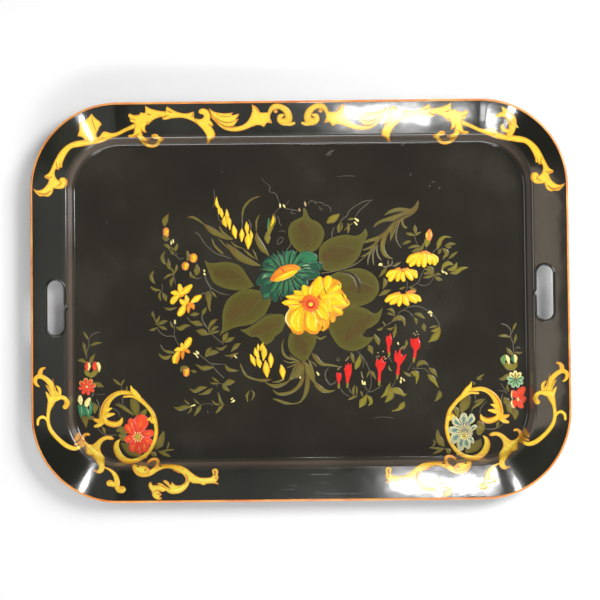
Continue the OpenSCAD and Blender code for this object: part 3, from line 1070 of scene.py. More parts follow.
CORAL = (srgb(244, 160, 66), srgb(214, 116, 48), srgb(232, 132, 36))
RED = (srgb(244, 34, 24), srgb(210, 26, 22), srgb(230, 30, 18))
RED_ORANGE = (srgb(246, 82, 40), srgb(224, 52, 34), srgb(206, 28, 22))
CREAM = (srgb(252, 244, 168), srgb(236, 206, 110), srgb(246, 226, 130))
TEAL = (srgb(26, 82, 58), srgb(20, 54, 42), srgb(26, 66, 40))
TEAL_LIT = (srgb(48, 128, 84), srgb(40, 94, 68), srgb(40, 92, 54))
TEAL_PALE = (srgb(150, 186, 140), srgb(96, 142, 116), srgb(110, 150, 100))
BROWN = (srgb(120, 60, 24), srgb(150, 80, 26), srgb(120, 60, 24))
TAN = (srgb(190, 160, 116), srgb(140, 112, 80), srgb(150, 120, 84))


def mottled(p, runs, tone, heart, size):
    """A broad leaf: its outline filled, with a browner patch laid softly in its heart."""
    p.shape(runs, tone, edge_width=7.0, grid=3.5)
    (x0, y0), (x1, y1) = heart
    soft = (mix(tone[0], tone[2], 0.75), tone[0], tone[2])
    p.stroke([(x0, y0, size * 0.5), ((x0 + x1) / 2, (y0 + y1) / 2, size), (x1, y1, size * 0.4)], soft)


def big_leaves():
    """The broad dull-green leaves behind the two large flowers."""
    p = Painting("bouquet_big_leaves", 0.05)
    mottled(p, [
        [(5, 118.6), (8.6, 116.5), (11.2, 110), (13.2, 106), (16, 103.3), (20.5, 101.8), (26, 98), (30, 92),
         (31.8, 86), (30.4, 78.5), (27, 71), (22, 65), (15, 61.4), (7, 60), (0, 62), (-6, 67), (-11.5, 75),
         (-14.2, 84), (-13.6, 93), (-9.6, 100), (-3, 104), (3, 106.4), (5, 110)],
    ], LEAF_BIG, ((4, 96), (12, 72)), 20)
    mottled(p, [
        [(-121.6, 53), (-116, 49.6), (-108, 49.2), (-98, 50.4), (-88, 49.6), (-79, 46.6), (-73, 41.5),
         (-68, 34), (-63, 26)],
        [(-58.4, 19), (-66, 16), (-75, 14.2), (-85, 14.4), (-95, 16.6), (-104, 20), (-111, 25.5), (-115, 34),
         (-118.6, 44)],
    ], LEAF_BIG, ((-106, 36), (-78, 32)), 18)
    mottled(p, [
        [(-84, 9.5), (-75, 14), (-64, 15.2), (-53, 13.6), (-44, 10), (-38.4, 5), (-37.4, -2), (-40.6, -9),
         (-45, -17), (-52, -23), (-60, -28.4), (-70, -31), (-82, -33), (-93, -37.4)],
        [(-103.5, -43.6), (-100, -36), (-99.4, -27), (-99, -17), (-97, -7), (-92.6, 2)],
    ], LEAF_BIG, ((-90, -18), (-56, 2)), 22)
    mottled(p, [
        [(-38, -17.6), (-30, -16.7), (-22, -18), (-19.4, -25), (-21, -33), (-25, -40), (-32, -45),
         (-36, -51)],
        [(-43.4, -56), (-49, -52.4), (-53.4, -47)],
        [(-56.4, -45.4), (-63, -45.4), (-70, -41)],
        [(-77.4, -36.4), (-70, -35.6), (-64, -32.4), (-57, -28), (-50, -23.4), (-44, -19.4)],
    ], LEAF_BIG, ((-60, -40), (-30, -30)), 16)
    p.stroke([(-62, -29.6, 0.6), (-52, -23.6, 1.4), (-44, -18, 1.8), (-36, -15.6, 0.8)], STEM_DARK)
    mottled(p,
            [[(24.4, 58), (25.4, 66), (29.4, 72), (35, 76.4), (42, 80), (50, 82.4), (60, 83.4), (70, 82),
              (77, 83.6), (81.6, 87.6)],
             [(84.4, 92), (86.4, 87), (86.6, 82), (84, 76), (81, 70), (79, 63), (76, 56), (71.6, 50),
              (66, 45), (58, 41.4), (50, 38.6), (42, 37.4), (34, 37.6), (28.6, 40.4), (26.4, 46),
              (24.6, 52)]],
            LEAF_BIG, ((34, 56), (66, 62)), 24)
    mottled(p,
            [[(36, 30), (48, 36), (62, 39.2), (74, 40.6), (84, 38.4), (92, 33.8), (98, 27), (100.8, 19),
              (100, 10), (96, 3), (90, -2.4), (84, -5.4), (76, -7.6), (66, -8), (52, -6), (40, 4)]],
            LEAF_BIG, ((66, 16), (90, 14)), 18)
    p.stroke([(52, 36.2, 1.5), (63, 35, 3), (71, 29.5, 4), (75.6, 20, 4.4), (75, 12, 3), (73, 8, 1)],
             STEM_DARK)
    p.stroke([(54, 33.4, 1), (63, 31.6, 2), (69, 26, 2.4), (71.6, 17, 1.4)], LEAF_DIM)
    mottled(p, [
        [(34, -30), (38, -42), (42.4, -50), (49, -58.6), (58, -63.5), (67, -64.8), (76, -62.6), (84, -58),
         (90, -52.4)],
        [(93.6, -46.4), (88, -47.6), (82, -47), (77.4, -43)],
        [(76, -38.4), (82, -37.4), (89, -35.4), (95.4, -31.4), (100.4, -26), (103.4, -18)],
        [(105.2, -9.4), (101, -14.2), (97, -17), (92, -16.4), (86, -12.6), (79, -9.4), (68, -8), (52, -9),
         (38, -16)],
    ], LEAF_BIG, ((60, -48), (88, -22)), 20)
    mottled(p, [
        [(-13.6, -42), (-15.8, -50), (-16, -57), (-14, -64), (-10, -69), (-5, -73), (0, -76.4)],
        [(4, -79.6), (8, -75), (12, -69), (16, -62), (19, -55), (20, -48), (17, -41), (8, -38), (-4, -38)],
    ], LEAF_BIG, ((-4, -48), (6, -66)), 18)
    p.finish()


def rose():
    """The big yellow flower in the middle."""
    p = Painting("rose", 0.62)
    p.shape([
        [(-20, -4), (-14, 0), (-8, 9), (0, 12), (7, 18), (14, 19), (20, 28), (28, 28), (35, 30.6), (42, 28),
         (50, 24.6), (53, 20), (52, 15), (56, 9)],
        [(61, 1), (63.4, -4), (60, -8.4), (54, -12), (53.4, -18), (46, -21), (44.4, -26), (38.4, -27),
         (36, -34), (31, -38.6), (26, -38)],
        [(21, -43), (13, -42.6), (6, -38)],
        [(3, -42), (-4, -43.4), (-10, -39), (-16, -32), (-18.4, -24), (-17, -15), (-14, -9)],
    ], (srgb(246, 176, 14), srgb(238, 134, 20), srgb(240, 150, 16)))
    p.strokes((srgb(250, 190, 30), srgb(240, 148, 36), YELLOW[2]),
        [(36, -20, 5), (41, -25, 7)], [(22, -24, 6), (27, -30, 9), (28.5, -36, 6.5)],
        [(34, -8, 6), (43, -13, 9), (51, -16, 7.5)], [(31, 6, 6), (40, 13, 12), (48, 18.5, 9)])
    p.strokes(YELLOW,
        [(29, 8, 6), (33, 18, 12), (36, 26, 11)], [(0, -6.5, 4), (-8, -8.4, 5.5), (-13.5, -7.6, 3)],
        [(1, -3, 4), (-9, -2.4, 9), (-18, -2.6, 7), (-22.5, -2.4, 2)],
        [(3, 2, 4), (-7, 3.6, 8), (-16.8, 5.2, 3)], [(5, 4.5, 4), (-2, 8.6, 9), (-7, 12.4, 2)],
        [(8, 5, 6), (7, 12, 12), (5.5, 16.5, 7)], [(26, 3, 7), (38, 4.6, 10), (49, 5, 11), (55, 4, 8)],
        [(28, -1, 7), (42, -2.4, 11), (54, -2.6, 11), (59, -4, 8)],
        [(18, 4, 8), (20.5, 13, 17), (24, 21.5, 16), (25, 26, 9)],
        [(21, -9, 8), (28, -15.5, 15), (31, -19.5, 12)], [(24, -5, 6), (32, -7, 11), (37, -11, 9)],
        [(40, -9, 5), (47, -13, 9), (50.6, -16, 7)], [(36, 10, 6), (43, 13.4, 9), (49, 17, 8)],
        [(10.5, -13, 7), (13, -23, 15), (14.5, -31, 18), (16.5, -36, 13)],
        [(2.5, -9.5, 8), (-3, -18, 17), (-6.6, -26.5, 21), (-5, -35, 15)])
    p.stroke([(-13, -10.5, 1.5), (-17.5, -18, 2.6), (-18, -26, 2.6), (-13.5, -32.4, 1.4)], CREAM)
    p.strokes(YELLOW_PALE,
        [(-3, -12, 1.2), (-9, -20, 3), (-11, -28, 3), (-8, -33, 1.5)],
        [(-1, -16, 1), (-3, -24, 2.6), (-2, -33, 2)], [(10, -18, 1), (9.5, -26, 2.4), (11, -35, 1.6)],
        [(18, -16, 1), (19.5, -26, 3), (18.5, -34, 2)], [(20, -8, 1), (23.5, -16, 3), (28, -21.5, 2.4)],
        [(35.5, 6, 1.5), (37.5, -3, 2), (38.5, -12, 1.2)], [(42, 5, 2), (52, 0, 3.4), (57, -6, 2)],
        [(30, -4, 1), (32, -10, 2.6), (35, -15, 1)], [(14, 6, 1), (13, 12, 3), (16, 18, 2)],
        [(24, 10, 1), (28, 18, 2.4), (27, 25, 1.4)], [(33, 12, 1), (37, 20, 2.4), (39, 27, 1.4)],
        [(42, 12, 1), (47, 16, 2.4), (50, 21, 1)], [(-3, 3.8, 1), (-9, 5.2, 2), (-14, 5.4, 1)],
        [(-6, -2, 0.8), (-13, -2, 1.8), (-19, -2.6, 1)],
        [(42, -9, 0.8), (47, -11.5, 1.6), (50, -13.5, 0.8)])
    p.strokes(ORANGE,
        [(5.5, -16, 1), (6, -27, 1.8), (6.6, -39, 0.8)],
        [(28.5, 27, 1.4), (30.5, 19, 1.6), (31.5, 12, 0.8)],
        [(23.5, -22, 1), (26.5, -24.4, 1.4), (31, -24.6, 0.8)],
        [(40, -12, 1), (45, -15, 1.4), (50, -18.5, 0.8)], [(2, -1, 0.8), (-6, 1, 1.2), (-15, 2.2, 0.6)],
        [(1, -4.6, 0.8), (-8, -5.2, 1.3), (-18, -6, 0.6)], [(3, 6, 0.8), (-1, 6.6, 1), (-5, 9.8, 0.6)],
        [(40, 14, 0.8), (44, 19.6, 1.2), (46.5, 24, 0.6)],
        [(52.5, 9.5, 1.4), (55, 5, 2.2), (58, 1, 1.4), (60.6, -4, 1.6)],
        [(-9, -37.5, 2), (-4.5, -41, 4), (1, -40, 2)], [(12, -39, 1.6), (17.5, -40.6, 3), (22, -38, 1.4)],
        [(41, -19, 1), (47, -19.4, 2), (53, -17, 1.2)], [(10.5, 17, 1), (10, 11, 1.2), (11.5, 6, 0.6)],
        [(37.5, -16, 1), (38.6, -22, 2), (37.4, -28, 1.2)])
    p.strokes(BROWN,
        [(31, 14.5, 1.4), (33.8, 8.4, 0.8)], [(28.4, -33.6, 2), (27.6, -36.4, 1.6)],
        [(49.6, 20, 2), (50.6, 18.8, 1.6)], [(53.5, 7.4, 1), (56, 4.4, 1.4)],
        [(60, -1.6, 1), (61.4, -4, 1)], [(38, -26, 2), (37.4, -27.2, 1)])
    p.stroke([(12, -3, 21), (14, -4.4, 21)], (srgb(248, 108, 22), srgb(246, 130, 24), srgb(240, 90, 20)))
    teeth = 15
    for i in range(teeth):
        a = 2 * math.pi * (i + 0.4) / teeth
        reach = 13.2 if i % 2 else 11.6
        p.stroke([(13.2 + 9 * math.cos(a), -3.6 + 8 * math.sin(a), 4),
                  (13.2 + reach * math.cos(a), -3.6 + (reach - 1) * math.sin(a), 1)],
                 (srgb(246, 112, 24), srgb(246, 132, 26), srgb(242, 92, 20)))
    ring = 12
    for i in range(ring):
        a = 2 * math.pi * i / ring
        b = a + 0.6
        p.stroke([(13.4 + 4.6 * math.cos(a), -4.8 + 4.4 * math.sin(a), 3.2),
                  (13.4 + 4.6 * math.cos(b), -4.8 + 4.4 * math.sin(b), 3.2)],
                 (srgb(226, 48, 16), srgb(238, 82, 20), srgb(196, 40, 16)))
    p.stroke([(-1, -2, 2), (4, -1.6, 3.4), (8, -0.8, 1.6)], (srgb(214, 80, 18), ORANGE[1], BROWN[0]))
    p.stroke([(24, 5, 3), (26, 2, 2.4)], (srgb(214, 90, 22), ORANGE[1], BROWN[0]))
    p.dot(13.5, -5, 5, YELLOW_PALE)
    p.finish()


def feather(p, x, y, number):
    """Dry-brushed hairs that run out from the middle of the teal flower over its petals."""
    tones = (TEAL, TEAL_LIT, (srgb(20, 50, 36), srgb(24, 56, 42), srgb(22, 50, 34)), TEAL_LIT,
             (srgb(84, 140, 84), srgb(60, 110, 76), srgb(140, 170, 70)))
    for i in range(number):
        a = 2 * math.pi * i / number
        c, s = math.cos(a), math.sin(a)
        near = 12 + 3 * math.sin(5.3 * i)
        far = 27 + 4.4 * math.sin(2.1 * i) + 4 * max(0.0, -math.cos(a - 0.5))
        p.stroke([(x + near * c, y + near * s * 0.8, 0.7),
                  (x + (near + far) / 2 * c, y + (near + far) / 2 * s, 1.7),
                  (x + far * c, y + far * s * 0.98, 0.6)],
                 tones[(3 * i) % len(tones)])


def teal_flower():
    """The dark green-blue flower behind the rose."""
    p = Painting("teal_flower", 0.25)
    p.strokes(TEAL,
        [(-22, 45, 12), (-32, 50, 19), (-41, 47, 14)], [(-38, 32, 9), (-46, 28, 15), (-52, 24, 9)],
        [(-36, 27, 10), (-43, 16, 15), (-44, 6, 9)], [(-28, 24, 10), (-33, 13, 15), (-32, 3, 9)],
        [(2, 44, 12), (13, 44, 16), (23, 43.5, 13)], [(-2, 34, 12), (9, 33.5, 15), (20, 32.5, 11)],
        [(-8, 28, 12), (2, 22, 17), (5, 16, 12)], [(-18, 26, 12), (-19, 15, 17), (-14, 9, 12)])
    p.stroke([(-16, 49, 12), (-14, 56, 18), (-11, 59, 12)], (srgb(66, 112, 88), TEAL[1], TEAL[2]))
    p.stroke([(-4, 49, 10), (6, 54.5, 17), (15, 54, 15)], TEAL_LIT)
    p.strokes(TEAL_PALE,
        [(-34, 35.6, 1.5), (-42, 34, 4.4), (-48, 29, 1.4)],
        [(-25.4, 24, 2), (-25, 19, 3.4), (-23.6, 15.6, 1.4)],
        [(-10, 32.6, 1.6), (-5, 31.6, 3.8), (-1.6, 30.4, 1.4)],
        [(2, 43.8, 1), (8, 45.2, 2.4), (12.6, 44.6, 1)], [(3, 41, 0.8), (9, 41.4, 2), (14, 40.6, 0.8)],
        [(-5, 47, 1.2), (0, 43.6, 2.2), (5, 40.8, 1)])
    p.strokes(TEAL_LIT,
        [(-46, 6.6, 4), (-40, 8.6, 5), (-37, 13, 1.4)], [(-46, 48, 1), (-36, 52.6, 1.8), (-27, 51.4, 1)],
        [(-20, 58, 1.4), (-12, 62, 1.8), (-5, 60, 1)], [(0, 60, 1), (9, 61.4, 1.6), (18, 59.6, 1)],
        [(-20, 20, 1), (-24, 12, 1.6), (-22, 5, 1)], [(-8, 22, 1), (-10, 14, 1.6), (-7, 9, 0.8)],
        [(9, 37.4, 1), (15, 36.6, 1.8), (20, 34.6, 0.8)], [(15, 50, 1), (22, 47, 1.4), (25.6, 41, 0.8)],
        [(-16, 24, 1), (-13.4, 20.6, 2), (-12, 18.4, 0.8)], [(-30, 20, 1), (-32, 10, 1.4), (-31, 3, 0.8)],
        [(2, 29, 1), (8, 25, 1.4), (9, 20, 0.8)])
    p.strokes((srgb(26, 54, 40), srgb(30, 58, 46), srgb(26, 50, 38)),
        [(-34, 44, 1), (-28, 47, 2.4), (-22, 48, 1)], [(-2, 52, 1), (3, 48, 2.4), (10, 47.4, 1)],
        [(-38, 20, 1), (-38, 8, 2.4), (-36, 0, 1)], [(-26, 14, 1), (-26, 6, 2), (-24, 1, 1)],
        [(-4, 26, 1), (-6, 18, 2.4), (-1, 12, 1)], [(0, 38, 1), (6, 38.6, 2), (14, 38.6, 1)],
        [(-22, 56, 1), (-21, 50, 2.4), (-20, 47, 1)])
    feather(p, -17, 36, 90)
    p.stroke([(-35, 27.6, 6), (-28, 34.5, 10), (-18, 40, 11), (-8, 42.4, 9), (-1.5, 41, 5)], ORANGE)
    p.stroke([(-31.5, 26.4, 4.4), (-23, 29.6, 8), (-13, 34, 8.4), (-5, 37.6, 4.6)], YELLOW)
    p.stroke([(-27, 29, 1.4), (-19, 33, 2.4), (-9, 37.6, 1.6)], YELLOW_PALE)
    p.stroke([(-24, 42.4, 3), (-21.6, 39, 3.4), (-20, 36.6, 2.8)],
             (srgb(242, 84, 22), ORANGE[0], srgb(230, 70, 20)))
    p.stroke([(-34, 28.6, 2.4), (-31, 32, 2)], (srgb(240, 110, 24), ORANGE[0], ORANGE[1]))
    p.stroke([(-17, 44.8, 1), (-10, 44.6, 1.8), (-5, 42.6, 1)], (srgb(226, 120, 22), ORANGE[0], ORANGE[1]))
    p.finish()


def daisy(p, petals, domes):
    """A flower seen from the side: its back in coral, its petals yellow with a paler ridge."""
    p.strokes(CORAL, *domes)
    p.strokes(YELLOW, *petals)
    for petal in petals:
        lit = [(x + 0.8, y + 0.4, w * 0.3) for x, y, w in petal]
        p.stroke(lit, YELLOW_PALE)


def daisies():
    """The three yellow flowers seen from the side, and the bud above them."""
    p = Painting("side_daisies", 0.12)
    daisy(p,
          ([(170, 56, 4), (174, 52, 6), (175.4, 48, 3)], [(152, 57, 5), (143, 53, 9), (138.6, 49, 6)],
           [(165, 56, 6), (170.6, 51, 9), (172, 46, 6)], [(152, 56, 5), (146, 48.5, 8), (142, 44.4, 5.6)],
           [(162, 56, 5), (165, 49.5, 7), (166.4, 46, 4)],
           [(155, 56, 5), (151.6, 48, 7), (151.6, 44.4, 5.4)],
           [(158, 56.4, 6), (158.4, 49, 9), (158.4, 43.8, 6.4)]),
          ([(147, 58, 3), (153, 58.4, 4), (158, 58, 3)], [(154, 58, 4), (160, 59.4, 6), (166, 57.6, 4)]))
    daisy(p,
          ([(123, 36, 5), (116, 33.6, 8.4), (112, 31, 5)],
           [(122, 35, 5), (117.4, 29.4, 8.4), (115.4, 26, 6.4)],
           [(127, 36, 5), (125.4, 29.4, 7), (124.4, 25.6, 5.4)],
           [(139, 36.6, 5), (145.4, 33.4, 9), (148, 29.4, 5)],
           [(131, 35, 5), (130.6, 29, 7), (132, 25.4, 5.4)],
           [(135, 35, 5), (139, 30.4, 7), (142.4, 26.4, 5)]),
          ([(122.6, 38, 4), (126.4, 39, 4.4)], [(131, 37.6, 4), (137.4, 38.8, 4)]))
    p.stroke([(130, 35.6, 1.6), (132.4, 36.2, 2)], (srgb(238, 110, 24), ORANGE[1], ORANGE[1]))
    daisy(p,
          ([(125, 5, 6), (116, 2.6, 9), (110.4, -1, 5.6)], [(124, 3, 5), (119.4, -2, 8), (116, -4.4, 4.6)],
           [(143, 5.4, 5), (149.4, 1.6, 8), (152.4, -0.8, 4.6)],
           [(128, 4, 6), (126.6, -3, 7), (126, -7, 4)], [(138, 5, 7), (143.6, 1, 10), (146.6, -2, 6)],
           [(133, 4, 6), (134.4, -2, 9), (136.6, -5.6, 5.4)]),
          ([(120, 7.4, 3), (126, 8, 4.4)], [(136, 8.6, 3), (142, 10, 4.4), (146, 10, 3)],
           [(126, 6, 2), (140, 6.6, 2)]))
    p.stroke([(164.6, 78, 7), (162.8, 73, 8.4), (162, 69.4, 5)], LEAF_LIT)
    p.stroke([(166, 87.4, 4.6), (165.4, 83, 9.4), (165, 78.6, 8)], CORAL)
    p.stroke([(162.6, 84.6, 1.4), (162.4, 80.4, 2.6)], YELLOW_PALE)
    p.stroke([(168, 86, 1.2), (168, 80, 2.2)], (srgb(250, 200, 130), CORAL[0], CORAL[0]))
    p.stroke([(165.4, 86, 0.8), (165.2, 80, 1.6)], ORANGE)
    p.finish()


def fuchsia(p, lobes, body, foot):
    """A red bell: its lobes at the top, its body, and the green foot that it hangs from."""
    p.strokes(RED, *lobes, body)
    x, y = foot
    p.stroke([(x + 0.2, y + 1.6, 3.6), (x - 0.2, y - 1.8, 2.8)], LEAF_LIT)


def fuchsias():
    """The six red bells that hang to the right, each with its tube and calyx."""
    p = Painting("red_fuchsias", 0.12)
    fuchsia(p, ([(46, -92.4, 1.4), (47, -96, 4)], [(50.4, -93, 1.4), (49.6, -96, 4)]),
            [(48.4, -96, 7), (48.4, -99, 6.4), (48.2, -103, 3.2), (48, -107, 2.6)], (48, -109.4))
    fuchsia(p,
            ([(57.4, -83, 1.4), (58.4, -88, 5)], [(60.4, -80.6, 1.4), (60.4, -87, 5)],
             [(64, -81.6, 1.2), (62.6, -88, 4.4)], [(55.4, -87.6, 1.2), (58, -91, 5)]),
            [(60.2, -87, 8.6), (60.2, -92, 9), (59.8, -97, 6.4), (59.4, -101, 4.4), (59, -106, 3.4)],
            (59, -108.4))
    fuchsia(p, ([(96.4, -76.4, 1.2), (98, -82, 5.6)], [(104, -72.8, 1.2), (101.8, -80, 6)],
                [(108.4, -79, 1), (105, -84, 5)], [(100.6, -76.6, 1.2), (100.4, -82, 5)]),
            [(100.8, -82, 11.6), (101.2, -86, 10.4), (100.4, -90.6, 5.4), (100, -96, 3.6), (99.6, -103, 4)],
            (99.6, -106.4))
    fuchsia(p,
            ([(121, -65.4, 1.4), (121.6, -73, 5)], [(126.4, -63.8, 1.6), (125.4, -72, 5)],
             [(134.4, -69.8, 1), (129.6, -76, 5)], [(119.6, -70, 1), (121.6, -77, 5)]),
            [(125, -74, 11), (125.2, -79, 9.4), (124.6, -83.4, 4), (124, -89, 4), (123, -95.4, 4.2)],
            (122.6, -98.6))
    fuchsia(p, ([(110, -46.6, 1.4), (110.8, -52, 4.4)], [(114.6, -43.8, 1.4), (113.8, -50, 5)]),
            [(112.6, -50.4, 8), (112.8, -55, 7), (112.2, -59.4, 4), (112, -63, 3.6), (112.2, -67.4, 3.6)],
            (112.4, -70))
    fuchsia(p,
            ([(141, -49.6, 1.4), (142.4, -56, 5.4)], [(149.8, -48.6, 1.4), (149, -55, 5.4)],
             [(145.6, -53, 1.2), (146, -57, 4)]),
            [(146.4, -56, 12.4), (146.6, -60.4, 11), (146, -65, 4.4), (145.4, -70, 3.8),
             (144.6, -74.6, 3.8)],
            (144, -77.2))
    for x, y in (
            (98.4, -67.4), (105, -65.8), (96.6, -72.4), (97.6, -75.4), (99.4, -72), (106.4, -72.6),
            (107.4, -75.4), (109, -74.6), (127.4, -62.6), (129.4, -60.8), (131.4, -63), (133, -61),
            (144.4, -43.4), (146.4, -45.4), (148, -41), (149.8, -44.4), (60.8, -73), (59.4, -75),
            (57.6, -76.6), (48.6, -86.4), (50.4, -84.8), (47.4, -88)):
        p.dot(x, y, 1.8, TAN)
    p.finish()


def fern():
    """The long feathery blade at the upper right."""
    p = Painting("fern", 0.12)
    p.strokes(BLADE,
        [(152, 125.4, 1.5), (148.6, 117, 6), (141.4, 111, 8), (132, 107, 9), (122, 104.4, 8),
         (112, 102.4, 5), (104, 100, 4), (98, 96.4, 3), (95, 92.4, 0.8)],
        [(146, 113, 3), (136, 114.2, 5), (126, 115, 5), (116, 112.4, 4), (109, 108, 0.8)],
        [(134, 107, 4), (126, 101, 7), (118, 93, 6), (112, 87, 6.4), (105, 82, 5.4), (97, 78, 5),
         (88, 75.4, 4), (82, 73, 1.4)],
        [(125, 101, 4), (121.4, 93, 6), (118.6, 85, 5.4), (116, 75.6, 1)],
        [(112.4, 87, 5), (108.4, 80, 6), (106, 71, 6), (106.2, 63, 5.6), (109.4, 57, 5), (114, 54, 3),
         (118.6, 52.4, 0.8)],
        [(131.4, 104, 3), (131.6, 97, 2.8), (133.6, 93, 3), (136, 92, 3)],
        [(104, 82, 3), (97, 72, 3.4), (90, 67, 2.8), (81.6, 64, 1.4)],
        [(98, 74, 3), (93, 66, 3), (89, 60.4, 3), (83.4, 57.4, 2.2), (78.6, 55.4, 0.8)])
    p.strokes(LEAF_DIM,
        [(129, 102, 1.6), (126, 94, 1.5), (123.4, 84, 1.6), (124, 75, 1.5), (129.4, 66.2, 0.8)],
        [(96, 68, 2), (90, 59, 2.6), (87.2, 51, 2.2), (87, 44.6, 1)],
        [(97.6, 68, 2), (94, 60, 2), (93.4, 52, 2.2), (94.2, 44.6, 1)],
        [(99, 70, 2), (98.6, 61, 2), (101, 54, 2.2), (104.4, 50.2, 0.8)],
        [(84, 56, 1), (75, 48.4, 1.3), (66, 43.4, 1.3), (55, 40, 1.1), (40, 36.4, 1), (27, 34.6, 0.8)])
    p.strokes(STEM_DARK,
        [(143, 110, 0.8), (130, 105, 1.8), (118, 97.4, 1.6), (108, 87, 1.8), (99, 80, 0.8)],
        [(124, 99, 0.8), (120, 90, 1.4), (117.6, 83, 0.6)],
        [(132, 113, 0.6), (122, 111, 1.2), (114, 109, 0.5)])
    p.finish()


